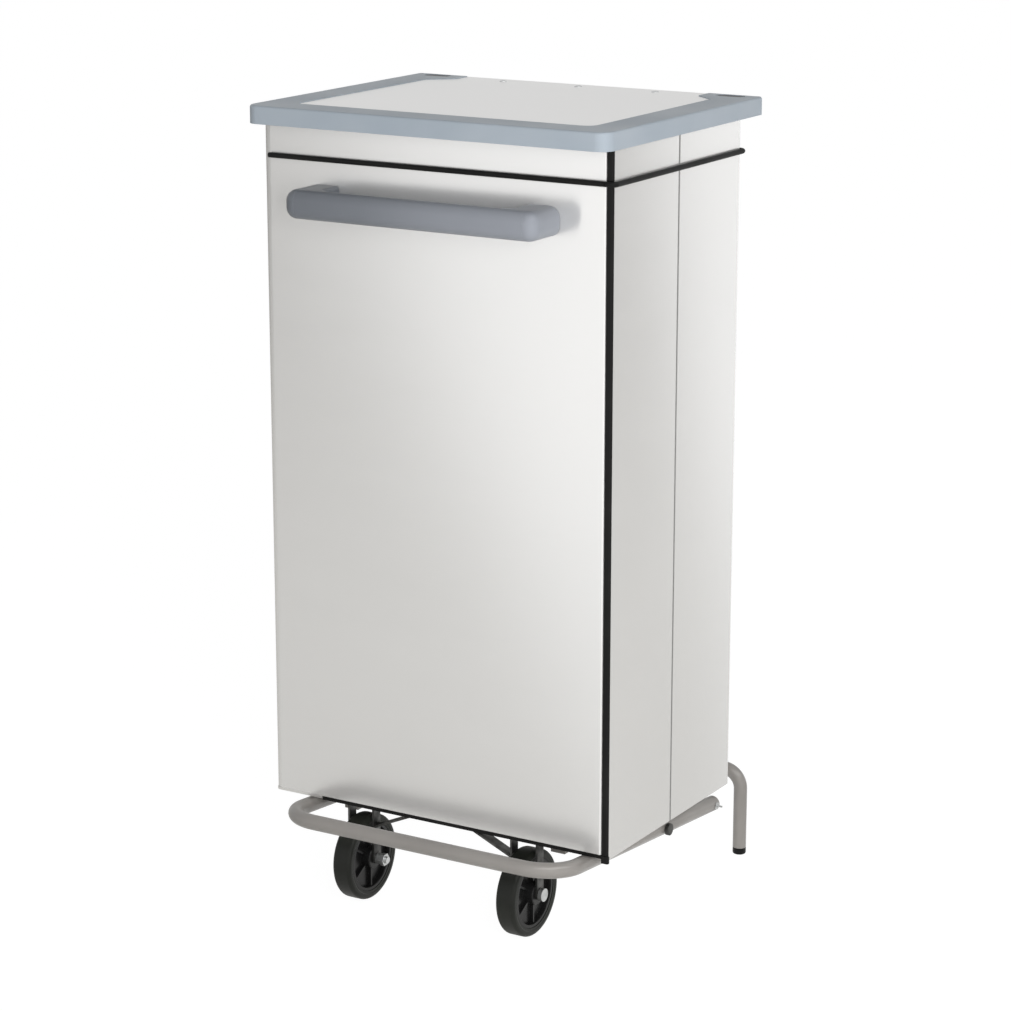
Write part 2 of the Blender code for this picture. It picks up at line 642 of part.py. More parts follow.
def build_lid():
    """Moulded lid frame, its inset plate, buffers, rivets and hinge leaf."""
    outline = rounded(-lid_half, lid_front, lid_half, lid_rear,
                      (LID_FRONT_RADIUS, LID_FRONT_RADIUS, LID_REAR_RADIUS, LID_REAR_RADIUS))
    inset = LID_SKIRT
    pocket = rounded(-lid_half + inset, lid_front + inset, lid_half - inset, lid_rear - inset,
                     (LID_FRONT_RADIUS - inset, LID_FRONT_RADIUS - inset, LID_REAR_RADIUS - inset,
                      LID_REAR_RADIUS - inset))
    past = lid_rear + LID_SKIRT
    window, window_end = lid_opening(0)
    hole, hole_end = lid_opening(-LID_LEDGE)
    frame = piece("lid_frame", prism(outline, "Z", lid_bottom, lid_top), GREY_PLASTIC, lid_hinge)
    rebate = window + [(window_end, past)]
    through = hole + [(hole_end, past)]
    cuts = [prism(pocket, "Z", lid_bottom - LID_SKIRT, lid_under),
            prism(through + mirrored(through), "Z", lid_bottom - LID_SKIRT, lid_top + LID_SKIRT),
            prism(rebate + mirrored(rebate), "Z", plate_bottom - FIT, lid_top + LID_SKIRT)]
    slot_x = lid_half - STUB_LENGTH / 2
    for _, side in SIDES:
        slot = oblong(side * slot_x, lid_rear - STUB_DEPTH / 2, SLOT_LENGTH / 2, SLOT_WIDTH / 2)
        cuts.append(prism(slot, "Z", lid_top - SLOT_DEPTH, lid_top + LID_SKIRT))
    combine(frame, cuts, "DIFFERENCE", lid_hinge)

    plate_window, plate_end = lid_opening(-FIT)
    plate_edge = plate_window + [(plate_end, lid_rear - FIT)]
    flat = prism(plate_edge + mirrored(plate_edge), "Z", plate_bottom, plate_top)
    plate = piece("lid_plate", flat, STEEL, lid_hinge)

    leaf_top = plate_bottom - FIT
    leaf_low = leaf_top - LEAF_SHEET
    half_web = LEAF_WEB / 2
    rivet_y = lid_axis_y - half_web - RIVET_MARGIN
    leaf_front = rivet_y - RIVET_MARGIN
    rivet_x = LEAF_WIDTH / 2 - RIVET_END
    rivet_row = (("left", -rivet_x), ("middle", 0), ("right", rivet_x))
    wrap = math.degrees(math.asin(half_web / BARREL_RADIUS))
    section = [(leaf_front, leaf_low), (lid_axis_y - half_web, leaf_low)]
    section += arc((lid_axis_y, lid_axis_z), BARREL_RADIUS, 90 + wrap, 450 - wrap, ROUND)
    section += [(lid_axis_y + half_web, leaf_low), (lid_rear - LID_SKIRT, leaf_low),
                (lid_rear - LID_SKIRT, leaf_top), (leaf_front, leaf_top)]
    leaf = piece("lid_hinge_leaf", prism(section, "X", -LEAF_WIDTH / 2, LEAF_WIDTH / 2), STEEL, lid_hinge)
    bore = rod("X", (0, lid_axis_y, lid_axis_z), LID_PIN_RADIUS + PIN_PLAY, -LEAF_WIDTH, LEAF_WIDTH)
    combine(leaf, [bore], "DIFFERENCE", lid_hinge)
    for label, x in rivet_row:
        for drilled in (leaf, plate):
            hole = rod("Z", (x, rivet_y, 0), RIVET_RADIUS + FIT, leaf_low - LEAF_SHEET, lid_top, SMALL_ROUND)
            combine(drilled, [hole], "DIFFERENCE", lid_hinge)
        rivet = headed_pin("Z", (x, rivet_y, 0), RIVET_RADIUS, leaf_low - RIVET_HEAD, plate_top + FIT,
                           RIVET_HEAD_RADIUS, RIVET_HEAD, SMALL_ROUND)
        piece(f"lid_rivet_{label}", rivet, ZINC, lid_hinge)

    for label, side in SIDES:
        outer = side * (lid_half - LID_SKIRT - FIT)
        inner = outer - side * BUFFER_WIDTH
        pad = rounded(min(inner, outer), front + BUFFER_INSET, max(inner, outer), rear - BUFFER_INSET,
                      (BUFFER_WIDTH / 4,) * 4, 3)
        strip = prism(pad, "Z", body_top + FIT, lid_under - FIT)
        piece(f"lid_buffer_{label}", strip, BLACK_RUBBER, lid_hinge)


def build_lid_hinge():
    """Hinge pin and the two arms that carry it behind the rear wall."""
    inner = LEAF_WIDTH / 2 + FIT
    outer = inner + ARM_PLATE
    wall = rear + FIT
    tip = BARREL_RADIUS + SHEET
    foot_low = band_z + BAND_RADIUS + ARM_BAND_GAP
    for label, side in SIDES:
        outline = [(wall, foot_low), (wall + ARM_FOOT_SHEET, foot_low)]
        outline += arc((lid_axis_y, lid_axis_z), tip, -60, 90, 10)
        outline.append((wall, lid_axis_z + tip))
        low, high = sorted((side * inner, side * outer))
        arm = piece(f"lid_hinge_arm_{label}", prism(outline, "X", low, high), STEEL, stand)
        foot_u = sorted((side * inner, side * (inner + ARM_FOOT)))
        foot = prism(rectangle(foot_u[0], foot_low, foot_u[1], lid_axis_z + tip), "Y", wall,
                     wall + ARM_FOOT_SHEET)
        combine(arm, [foot], "UNION", stand)
        ends = sorted((side * inner / 2, side * outer * 2))
        bore = rod("X", (0, lid_axis_y, lid_axis_z), LID_PIN_RADIUS + FIT, *ends)
        combine(arm, [bore], "DIFFERENCE", stand)
    reach = outer + LID_PIN_OVERHANG
    pin = headed_pin("X", (0, lid_axis_y, lid_axis_z), LID_PIN_RADIUS, -reach, outer + FIT,
                     LID_PIN_RADIUS + SHEET, SHEET)
    piece("lid_hinge_pin", pin, ZINC, stand)


def build_lift():
    """Lever on the lid, push rod down the back, and the guides that hold the rod."""
    foot_top = lid_under - FIT
    foot_low = foot_top - LEVER_PLATE
    foot_rear = lid_axis_y + LEVER_TIP_RADIUS
    foot_front = foot_rear - LEVER_FOOT_LENGTH
    tip = arc((lever_pin_y, lever_pin_z), LEVER_TIP_RADIUS, 150, 330, 10)
    outline = [(foot_front, foot_top)] + tip + [(foot_rear, lid_axis_z), (foot_rear, foot_top)]
    lever = piece("lid_lever", prism(outline, "X", lever_left, lever_right), ZINC, lid_hinge)
    flat = rectangle(lever_middle, foot_front, lever_left + LEVER_FOOT_WIDTH, foot_rear)
    foot = prism(flat, "Z", foot_low, foot_top)
    stud = rod("X", (0, lever_pin_y, lever_pin_z), LIFT_PIN_RADIUS, rod_left - ROD_SIDE_GAP, lever_middle)
    combine(lever, [foot, stud], "UNION", lid_hinge)

    slot_radius = LIFT_PIN_RADIUS + ROD_EYE_PLAY
    eye_slot = slot_radius + lever_sway
    low_slot = slot_radius + pedal_sway
    eye_half = eye_slot + ROD_EYE_WALL
    low_half = low_slot + ROD_EYE_WALL
    eye_low = lever_pin_z - slot_radius - ROD_EYE_WALL
    rod_top = lever_pin_z + slot_radius + ROD_EYE_WALL
    rod_low = pedal_pin_z - slot_radius - ROD_EYE_WALL
    low_top = pedal_pin_z + slot_radius + ROD_EYE_WALL
    half = ROD_WIDTH / 2
    right_side = [(low_half, rod_low), (low_half, low_top), (half, low_top + ROD_EYE_WALL),
                  (half, eye_low - ROD_EYE_WALL), (eye_half, eye_low), (eye_half, rod_top)]
    bar = [(rod_y + u, v) for u, v in right_side + mirrored(right_side)]
    push = piece("push_rod", prism(bar, "X", rod_left, rod_right), ZINC, rod_guide_line)
    for height, length in ((lever_pin_z, eye_slot), (pedal_pin_z, low_slot)):
        slot = prism(oblong(rod_y, height, length, slot_radius), "X", rod_left - SHEET, rod_right + SHEET)
        combine(push, [slot], "DIFFERENCE", rod_guide_line)

    for label, height in (("lower", GUIDE_LOW), ("upper", GUIDE_HIGH)):
        low = body_bottom + height
        window = rectangle(rod_left - PIN_PLAY, rod_y - half - PIN_PLAY, rod_right + PIN_PLAY,
                           rod_y + half + PIN_PLAY)
        block = rectangle(rod_left - GUIDE_WALL, rear + FIT, rod_right + GUIDE_WALL,
                          rod_y + half + GUIDE_WALL)
        guide = piece(f"rod_guide_{label}", prism(block, "Z", low, low + GUIDE_HEIGHT), WHITE_NYLON, stand)
        combine(guide, [prism(window, "Z", low - SHEET, low + GUIDE_HEIGHT + SHEET)], "DIFFERENCE", stand)


def build_pedal():
    """Bent pedal tube and its lift pin, and the plates and bolts that it rocks on."""
    corner = pedal_front_y + PEDAL_BEND
    right, left = ([(arm, pedal_end_y)] + arc((arm - PEDAL_BEND, corner), PEDAL_BEND, 0, -90, 8)
                   for arm in (pedal_right, pedal_left))
    route = [(x, y, pedal_height(y)) for x, y in right + mirrored(left)]
    pedal = piece("pedal_tube", tube(route, PEDAL_RADIUS), PAINTED_TUBE, pedal_pivot)
    cuts = []
    for (label, side), arm in zip(SIDES, (pedal_left, pedal_right)):
        plate_out = arm - PEDAL_RADIUS - FIT
        plate_in = plate_out - PIVOT_PLATE
        centre = (0, pivot_y, pivot_z)
        ends = sorted((side * (plate_in - PIVOT_HEAD), side * (arm + PEDAL_RADIUS + FIT)))
        bolt = headed_pin("X", centre, PIVOT_RADIUS, *ends, PIVOT_HEAD_RADIUS, side * PIVOT_HEAD)
        piece(f"pedal_bolt_{label}", bolt, ZINC, stand)
        ends = sorted((side * plate_in, side * half_width))
        cuts.append(rod("X", centre, PIVOT_RADIUS + PIN_PLAY, *ends))
        outline = [(pivot_y - PIVOT_PLATE_LENGTH / 2, body_bottom - FIT)]
        outline += arc((pivot_y, pivot_z), PIVOT_PLATE_TIP, 180, 360, 10)
        outline.append((pivot_y + PIVOT_PLATE_LENGTH / 2, body_bottom - FIT))
        flat = prism(outline, "X", *sorted((side * plate_in, side * plate_out)))
        plate = piece(f"pedal_bracket_{label}", flat, ZINC, stand)
        hole = rod("X", centre, PIVOT_RADIUS + FIT, *sorted((side * plate_in / 2, side * arm)))
        combine(plate, [hole], "DIFFERENCE", stand)
    pin_centre = (0, rod_y, pedal_pin_z)
    pin_low = rod_left - 2 * ROD_SIDE_GAP
    collar_low = pedal_right + PEDAL_RADIUS + FIT
    collar_high = collar_low + SHEET
    collar_radius = LIFT_PIN_RADIUS + SHEET
    tip = collar_high + PEDAL_PIN_TIP
    cuts.append(rod("X", pin_centre, LIFT_PIN_RADIUS + FIT, rod_left, half_width))
    combine(pedal, cuts, "DIFFERENCE", pedal_pivot)
    profile = [(pin_low, 0), (pin_low, LIFT_PIN_RADIUS), (collar_low, LIFT_PIN_RADIUS),
               (collar_low, collar_radius), (collar_high, collar_radius), (collar_high, PEDAL_PIN_TIP_RADIUS),
               (tip, PEDAL_PIN_TIP_RADIUS), (tip, 0)]
    piece("pedal_pin", turned(profile, "X", pin_centre, ROUND), ZINC, pedal_pivot)


def fork_rivet_places():
    """Where the rivets join each fork to the floor pan."""
    behind = front + WHEEL_SETBACK + FORK_RIVET_SETBACK
    return [(side * (half_width - WHEEL_INSET), behind) for _, side in SIDES]


def build_wheels():
    """Fixed forks, axle bolts, nuts, hubs and tyres."""
    wheel_y = front + WHEEL_SETBACK
    boss = HUB_BOSS_WIDTH / 2
    leg_in = boss + FIT
    leg_out = leg_in + FORK_LEG
    crown_top = body_bottom - FIT
    crown_low = crown_top - FORK_SHEET
    leg_front = wheel_y - FORK_LEG_WIDTH / 2
    leg_back = wheel_y + FORK_LEG_WIDTH / 2
    tyre_half = TYRE_WIDTH / 2
    radius = WHEEL_DIAMETER / 2
    seat = radius - TYRE_DEPTH
    shoulder = TYRE_SHOULDER
    for (label, side), (x, rivet_y) in zip(SIDES, fork_rivet_places()):
        spin = empty(f"wheel_axis_{label}", (x, wheel_y, axle_z), stand)
        centre = (x, wheel_y, axle_z)
        round_out = arc((tyre_half - shoulder, radius - shoulder), shoulder, 0, 90, 3)
        tyre = [(tyre_half, seat)] + round_out + mirrored(round_out) + [(-tyre_half, seat)]
        piece(f"tyre_{label}", turned(tyre, "X", centre, TYRE_ROUND), BLACK_RUBBER, spin)
        rim = seat - FIT
        web = HUB_WEB / 2
        hub = [(boss, AXLE_RADIUS + PIN_PLAY), (boss, HUB_BOSS_RADIUS), (web, HUB_BOSS_RADIUS + FIT),
               (web, rim - HUB_RIM), (tyre_half - SHEET, rim - HUB_RIM), (tyre_half - SHEET, rim)]
        piece(f"hub_{label}", turned(hub + mirrored(hub), "X", centre, HUB_ROUND), BLACK_RUBBER, spin)

        crown = rectangle(x - leg_out, leg_front, x + leg_out, leg_front + FORK_CROWN_BACK)
        fork = piece(f"fork_{label}", prism(crown, "Z", crown_low, crown_top), ZINC, stand)
        leg = arc((wheel_y, axle_z), FORK_LEG_WIDTH / 2, 180, 360, 10)
        leg += [(leg_back, crown_low + FORK_SHEET / 2), (leg_front, crown_low + FORK_SHEET / 2)]
        welds = [prism(leg, "X", *sorted((x + way * leg_in, x + way * leg_out))) for way in (-1, 1)]
        stay_x = x - side * leg_out
        stay_end = stay_x - side * FORK_STAY_RUN
        stay = [(stay_x + side * FORK_LEG / 2, crown_top - FORK_STAY_DROP - FORK_LEG),
                (stay_x + side * FORK_LEG / 2, crown_top - FORK_STAY_DROP), (stay_end, crown_top),
                (stay_end - side * FORK_STAY_FOOT, crown_top),
                (stay_end - side * FORK_STAY_FOOT, crown_top - FORK_LEG), (stay_end, crown_top - FORK_LEG)]
        welds.append(prism(stay, "Y", leg_front, leg_back))
        combine(fork, welds, "UNION", stand)
        bore = rod("X", (0, wheel_y, axle_z), AXLE_RADIUS + FIT, x - 2 * leg_out, x + 2 * leg_out)
        hole = rod("Z", (x, rivet_y, 0), FORK_RIVET_RADIUS + FIT, crown_low - SHEET, crown_top + SHEET,
                   SMALL_ROUND)
        combine(fork, [bore, hole], "DIFFERENCE", stand)
        rivet = headed_pin("Z", (x, rivet_y, 0), FORK_RIVET_RADIUS, crown_low - FIT,
                           body_bottom + SHEET + FIT, FORK_RIVET_HEAD_RADIUS, FORK_RIVET_HEAD, SMALL_ROUND)
        piece(f"fork_rivet_{label}", rivet, ZINC, stand)

        seat_out = leg_out + FIT
        nut_near = seat_out + AXLE_COLLAR
        nut_far = nut_near + AXLE_HEAD
        ends = sorted((x + side * seat_out, x - side * (nut_far + AXLE_TAIL)))
        axle = headed_pin("X", (0, wheel_y, axle_z), AXLE_RADIUS, *ends, AXLE_HEAD_RADIUS, side * AXLE_HEAD)
        piece(f"axle_{label}", axle, ZINC, stand)
        hexagon = arc((wheel_y, axle_z), AXLE_HEAD_RADIUS, 0, 300, 5)
        faces = sorted((x - side * nut_near, x - side * nut_far))
        nut = piece(f"axle_nut_{label}", prism(hexagon, "X", *faces), ZINC, stand)
        ends = sorted((x - side * seat_out, x - side * (nut_near + nut_far) / 2))
        collar = rod("X", (0, wheel_y, axle_z), AXLE_RADIUS + FIT + AXLE_COLLAR_WALL, *ends)
        combine(nut, [collar], "UNION", stand)
        ends = sorted((x - side * leg_in, x - side * 2 * nut_far))
        combine(nut, [rod("X", (0, wheel_y, axle_z), AXLE_RADIUS + FIT, *ends)], "DIFFERENCE", stand)


def build_legs():
    """Rear leg tube with its foot plugs, and the rails that tie it to the floor."""
    bend = arc((leg_half - LEG_BEND, leg_bar_z - LEG_BEND), LEG_BEND, 0, 90, 8)
    right = [(leg_half, FOOT_PLUG + FIT)] + bend
    route = [(x, leg_y, z) for x, z in right + mirrored(right)]
    piece("rear_leg_tube", tube(route, LEG_RADIUS), PAINTED_TUBE, stand)
    sole = LEG_RADIUS - FOOT_PLUG_ROUND
    profile = [(0, 0), (0, sole)]
    profile += [(FOOT_PLUG_ROUND - v, sole + u) for u, v in arc((0, 0), FOOT_PLUG_ROUND, 60, 0, 2)]
    profile += [(FOOT_PLUG, LEG_RADIUS), (FOOT_PLUG, 0)]
    top = body_bottom - FIT
    for label, side in SIDES:
        plug = turned(profile, "Z", (side * leg_half, leg_y, 0), ROUND)
        piece(f"foot_plug_{label}", plug, BLACK_RUBBER, stand)
        middle = side * (half_width - RAIL_INSET)
        section = rectangle(middle - RAIL_WIDTH / 2, top - RAIL_HEIGHT, middle + RAIL_WIDTH / 2, top)
        piece(f"rail_{label}", prism(section, "Y", front + RAIL_FRONT_INSET, leg_y - LEG_RADIUS - FIT),
              PAINTED_TUBE, stand)


build_body()
build_seals()
build_door()
build_handle()
build_band()
build_lid()
build_lid_hinge()
build_lift()
build_pedal()
build_wheels()
build_legs()
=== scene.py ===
"""A clinic's pedal bin, dressed for its portrait: satin steel, grey mouldings, black rubber and painted tube.

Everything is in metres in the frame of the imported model, and each section below is one piece of the bin,
or one group of like pieces, in the order in which they are put together.
"""
import math

import bmesh
import bpy
from mathutils import Matrix, Vector


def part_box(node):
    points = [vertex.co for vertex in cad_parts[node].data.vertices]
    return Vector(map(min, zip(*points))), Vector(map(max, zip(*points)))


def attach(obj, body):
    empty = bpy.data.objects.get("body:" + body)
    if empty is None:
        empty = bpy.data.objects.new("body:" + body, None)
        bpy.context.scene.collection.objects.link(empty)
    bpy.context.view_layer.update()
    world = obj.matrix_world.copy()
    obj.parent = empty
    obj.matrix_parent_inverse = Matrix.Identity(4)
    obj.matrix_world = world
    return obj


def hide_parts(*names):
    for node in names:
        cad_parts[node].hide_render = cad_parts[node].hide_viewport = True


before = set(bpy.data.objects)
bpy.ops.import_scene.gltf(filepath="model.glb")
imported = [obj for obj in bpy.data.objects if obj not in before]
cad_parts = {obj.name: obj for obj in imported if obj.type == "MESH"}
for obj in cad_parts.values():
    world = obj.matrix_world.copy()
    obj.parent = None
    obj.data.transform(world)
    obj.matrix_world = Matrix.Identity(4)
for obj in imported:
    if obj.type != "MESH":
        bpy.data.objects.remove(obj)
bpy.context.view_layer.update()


# Folded body. Two side panels and a U-shaped back of 1.2 mm stainless sheet with a satin finish.
# The meeting edges are folded inwards, so a narrow groove with a grey sealing bead runs down each side.
SHEET = 0.0012
SEAM_FOLD = 0.0009
SEAM_FOLD_INSIDE = 0.0004
SEAM_OPEN = 0.0008
SEAM_BEAD_DEPTH = 0.00015
SEAM_BEAD_LAP = 0.0006
BACK_FOLD = 0.0040
STEEL_LIGHT = (0.86, 0.855, 0.845, 1.0)
STEEL_DEEP = (0.80, 0.795, 0.785, 1.0)
SEALANT_DARK = (0.20, 0.20, 0.195, 1.0)
SEALANT_PALE = (0.29, 0.29, 0.28, 1.0)


class Wire:
    """An output in a material's node tree. Arithmetic on it adds Math nodes."""

    def __init__(self, tree, socket=None):
        self.tree = tree
        self.socket = socket

    def feed(self, socket, value):
        """Link a wire to a socket, or set the socket's own value."""
        if isinstance(value, Wire):
            self.tree.links.new(value.socket, socket)
        else:
            socket.default_value = value

    def node(self, kind, settings=None, inputs=None, output=0):
        """Add a node: first its settings, then the values or links of its sockets. Gives one output."""
        made = self.tree.nodes.new(kind)
        for name, value in (settings or {}).items():
            setattr(made, name, value)
        for name, value in (inputs or {}).items():
            self.feed(made.inputs[name], value)
        return Wire(self.tree, made.outputs[output])

    def maths(self, operation, first, second):
        return self.node("ShaderNodeMath", {"operation": operation}, {0: first, 1: second})

    def __add__(self, other):
        return self.maths("ADD", self, other)

    def __sub__(self, other):
        return self.maths("SUBTRACT", self, other)

    def __rsub__(self, other):
        return self.maths("SUBTRACT", other, self)

    def __mul__(self, other):
        return self.maths("MULTIPLY", self, other)

    __radd__ = __add__
    __rmul__ = __mul__

    def between(self, low, high, from_zero=0.0, to_one=1.0):
        """This value eased from one level to another."""
        return self.node("ShaderNodeMapRange", {"interpolation_type": "SMOOTHSTEP"},
                         {"Value": self, "From Min": low, "From Max": high, "To Min": from_zero,
                          "To Max": to_one})

    def tint(self, first, second):
        """A colour that goes from the first to the second as this value goes from 0 to 1."""
        return self.node("ShaderNodeMix", {"data_type": "RGBA"}, {0: self, 6: first, 7: second}, output=2)

    def stretched(self, scale):
        """This vector with its axes stretched."""
        return self.node("ShaderNodeMapping", inputs={"Vector": self, "Scale": scale})

    def noise(self, scale, detail=2.0, rough=0.5):
        """Clouds of noise over this vector, from about 0 to 1."""
        return self.node("ShaderNodeTexNoise", inputs={"Vector": self, "Scale": scale, "Detail": detail,
                                                       "Roughness": rough})

    def bump(self, depth, strength):
        """This height as a bump of a real depth."""
        return self.node("ShaderNodeBump", inputs={"Height": self, "Distance": depth, "Strength": strength})


class Finish:
    """A material with one Principled shader, and the wire of the piece's own coordinates."""

    def __init__(self, name, **constants):
        self.material = bpy.data.materials.new(name)
        self.material.use_nodes = True
        self.wire = Wire(self.material.node_tree)
        self.shader = self.material.node_tree.nodes["Principled BSDF"]
        for socket, value in constants.items():
            self.shader.inputs[socket].default_value = value
        self.place = self.wire.node("ShaderNodeTexCoord", output="Object")

    def wear(self, colour, roughness, normal):
        """Connect what varies over the surface."""
        for socket, value in (("Base Color", colour), ("Roughness", roughness), ("Normal", normal)):
            self.wire.feed(self.shader.inputs[socket], value)
        return self.material


def satin_steel(name, roughness, metal=1.0, brushed=0.0):
    """Stainless sheet with a fine short grain across it and faint clouds from handling."""
    steel = Finish(name, **{"Metallic": metal, "Anisotropic": brushed, "Anisotropic Rotation": 0.25})
    grain = steel.place.stretched((55, 55, 1100)).noise(1.0, 3.0, 0.6)
    clouds = steel.place.noise(3.2, 3.0)
    smears = steel.place.stretched((2.0, 2.0, 9.0)).noise(2.4, 4.0, 0.55)
    colour = (0.5 * clouds + 0.3 * smears + 0.2 * grain).tint(STEEL_DEEP, STEEL_LIGHT)
    return steel.wear(colour, roughness + 0.03 * grain + 0.04 * smears, grain.bump(0.0002, 0.04))


def solid_from(outline, low, high, radii=None, segments=6):
    """A plan outline drawn up into a solid. Radii round its upright edges, by the corner's number."""
    shape = bmesh.new()
    corners = [shape.verts.new((x, y, low)) for x, y in outline]
    floor = shape.faces.new(corners)
    raised = bmesh.ops.extrude_face_region(shape, geom=[floor])["geom"]
    bmesh.ops.translate(shape, verts=[item for item in raised if isinstance(item, bmesh.types.BMVert)],
                        vec=(0, 0, high - low))
    bmesh.ops.recalc_face_normals(shape, faces=shape.faces)
    uprights = [next(edge for edge in corner.link_edges if abs(edge.verts[0].co.z - edge.verts[1].co.z) > 1e-6)
                for corner in corners]
    by_radius = {}
    for number, radius in (radii or {}).items():
        by_radius.setdefault(radius, []).append(uprights[number])
    for radius, edges in by_radius.items():
        soften(shape, edges, radius, segments)
    return shape


def soften(shape, edges, radius, segments=4):
    """Round some edges of a shape."""
    bmesh.ops.bevel(shape, geom=edges, offset=radius, offset_type="OFFSET", segments=segments, profile=0.5,
                    affect="EDGES", material=-1, clamp_overlap=True)


def edges_at(shape, level, axis=2, reach=1e-5):
    """The edges that lie in a plane across an axis."""
    return [edge for edge in shape.edges if all(abs(vert.co[axis] - level) < reach for vert in edge.verts)]


def add_piece(name, shape, material, body, slot, *nodes, crease=35.0):
    """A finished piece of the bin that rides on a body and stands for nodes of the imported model."""
    bmesh.ops.remove_doubles(shape, verts=shape.verts, dist=1e-6)
    mesh = bpy.data.meshes.new(name)
    shape.to_mesh(mesh)
    shape.free()
    mesh.shade_smooth()
    mesh.set_sharp_from_angle(angle=math.radians(crease))
    mesh.materials.append(material)
    made = bpy.data.objects.new(name, mesh)
    bpy.context.scene.collection.objects.link(made)
    even = made.modifiers.new("even_shading", "WEIGHTED_NORMAL")
    even.keep_sharp = True
    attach(made, body)
    if nodes:
        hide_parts(*nodes)


def dress(material, *nodes):
    """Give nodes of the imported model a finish."""
    for node in nodes:
        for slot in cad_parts[node].material_slots:
            slot.material = material


body_steel = satin_steel("satin_steel", 0.15, metal=0.64, brushed=0.84)
for side, way in (("right", 1), ("left", -1)):
    low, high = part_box(f"side_panel_{side}")
    outer_x, flange_x = (high.x, low.x) if way > 0 else (low.x, high.x)
    inner_x = outer_x - way * SHEET
    seam_y = high.y - SEAM_OPEN
    outline = [(inner_x, low.y), (outer_x, low.y), (outer_x, seam_y), (flange_x, seam_y),
               (flange_x, seam_y - SHEET), (inner_x, seam_y - SHEET)]
    panel = solid_from(outline, low.z, high.z, {2: SEAM_FOLD, 5: SEAM_FOLD_INSIDE})
    add_piece(f"body_side_{side}", panel, body_steel, "bin", "steel", f"side_panel_{side}")

flange_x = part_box("side_panel_right")[0].x
low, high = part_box("rear_shell")
seam_back = low.y + SEAM_OPEN
half_back = [(flange_x, seam_back + SHEET), (flange_x, seam_back), (high.x, seam_back), (high.x, high.y)]
half_inside = [(high.x - SHEET, high.y - SHEET), (high.x - SHEET, seam_back + SHEET)]
outline = half_back + [(-x, y) for x, y in reversed(half_back)]
outline += [(-x, y) for x, y in reversed(half_inside)] + half_inside
folds = {2: SEAM_FOLD, 5: SEAM_FOLD, 3: BACK_FOLD, 4: BACK_FOLD, 8: SEAM_FOLD_INSIDE, 11: SEAM_FOLD_INSIDE,
         9: BACK_FOLD - SHEET, 10: BACK_FOLD - SHEET}
add_piece("body_back", solid_from(outline, low.z, high.z, folds), body_steel, "bin", "steel", "rear_shell")

sealant = Finish("seam_sealant", **{"Specular IOR Level": 0.2})
skin = sealant.place.noise(260.0, 2.0)
seam_sealant = sealant.wear(skin.tint(SEALANT_DARK, SEALANT_PALE), 0.5 + 0.2 * skin, skin.bump(0.0003, 0.2))
lap_front = seam_y - SEAM_BEAD_LAP
lap_back = seam_back + SEAM_BEAD_LAP
for side, way in (("left", -1), ("right", 1)):
    ends = sorted((way * (high.x - SHEET), way * (high.x - SEAM_BEAD_DEPTH)))
    outline = [(ends[0], lap_front), (ends[1], lap_front), (ends[1], lap_back), (ends[0], lap_back)]
    add_piece(f"seam_bead_{side}", solid_from(outline, low.z, high.z), seam_sealant, "bin", "rubber")


# Floor pan and door frame. Both are pressed from the same sheet and welded inside the body, where the
# bag stands on the pan and the door closes against the frame.
inside_steel = satin_steel("inside_steel", 0.36)
dress(inside_steel, "floor_pan", "door_frame")


# Door seals. An extruded black strip with a round nose fills the right front corner, with a moulded plug
# at its foot, and a flat gasket lies along the sill under the door.
SEAL_NOSE = 0.0023
SEAL_INNER_EDGE = 0.0008
SEAL_STEM_GAP = 0.0015
SEAL_STEP = 0.0002
SEAL_PLUG_EDGE = 0.0007
RUBBER_BLACK = (0.005, 0.005, 0.005, 1.0)
RUBBER_DUSTY = (0.011, 0.011, 0.010, 1.0)


def black_rubber(name, dark, dusty, roughness, grain_size, shine=0.18):
    """Rubber with a fine skin and a little dust that dulls it in patches."""
    rubber = Finish(name, **{"Specular IOR Level": shine})
    dust = rubber.place.noise(14.0, 4.0).between(0.42, 0.72)
    skin = rubber.place.noise(grain_size, 2.0)
    return rubber.wear(dust.tint(dark, dusty), roughness + 0.16 * dust + 0.05 * skin, skin.bump(0.0002, 0.12))


seal_rubber = black_rubber("seal_rubber", RUBBER_BLACK, RUBBER_DUSTY, 0.30, 900.0)
low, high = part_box("seal_strip")
stem_x = high.x - SEAL_STEM_GAP
step_y = low.y + SEAL_NOSE + SEAL_STEP
section = [(low.x, low.y), (high.x, low.y), (high.x, step_y), (stem_x, step_y), (stem_x, high.y),
           (low.x, high.y)]
strip = solid_from(section, low.z, high.z, {0: SEAL_INNER_EDGE, 1: SEAL_NOSE}, 8)
add_piece("corner_seal", strip, seal_rubber, "bin", "rubber", "seal_strip")

low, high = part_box("seal_plug")
plug = solid_from([(low.x, low.y), (high.x, low.y), (high.x, high.y), (low.x, high.y)], low.z, high.z,
                  {1: SEAL_NOSE}, 8)
soften(plug, edges_at(plug, low.z) + edges_at(plug, high.z), SEAL_PLUG_EDGE, 2)
add_piece("corner_seal_plug", plug, seal_rubber, "bin", "rubber", "seal_plug")
dress(seal_rubber, "sill_gasket")


# Door. One steel skin rolled round the hinge side at the left, folded back at the right, with a flat liner
# behind it. Nylon bushes in the rolled edge turn on pins in two welded plates.
DOOR_ROLL = 0.01195
DOOR_ROLL_INSIDE = 0.0107
DOOR_LIP = 0.031
DOOR_EDGE = 0.0030
NYLON_WHITE = (0.80, 0.80, 0.77, 1.0)
NYLON_AGED = (0.70, 0.69, 0.62, 1.0)


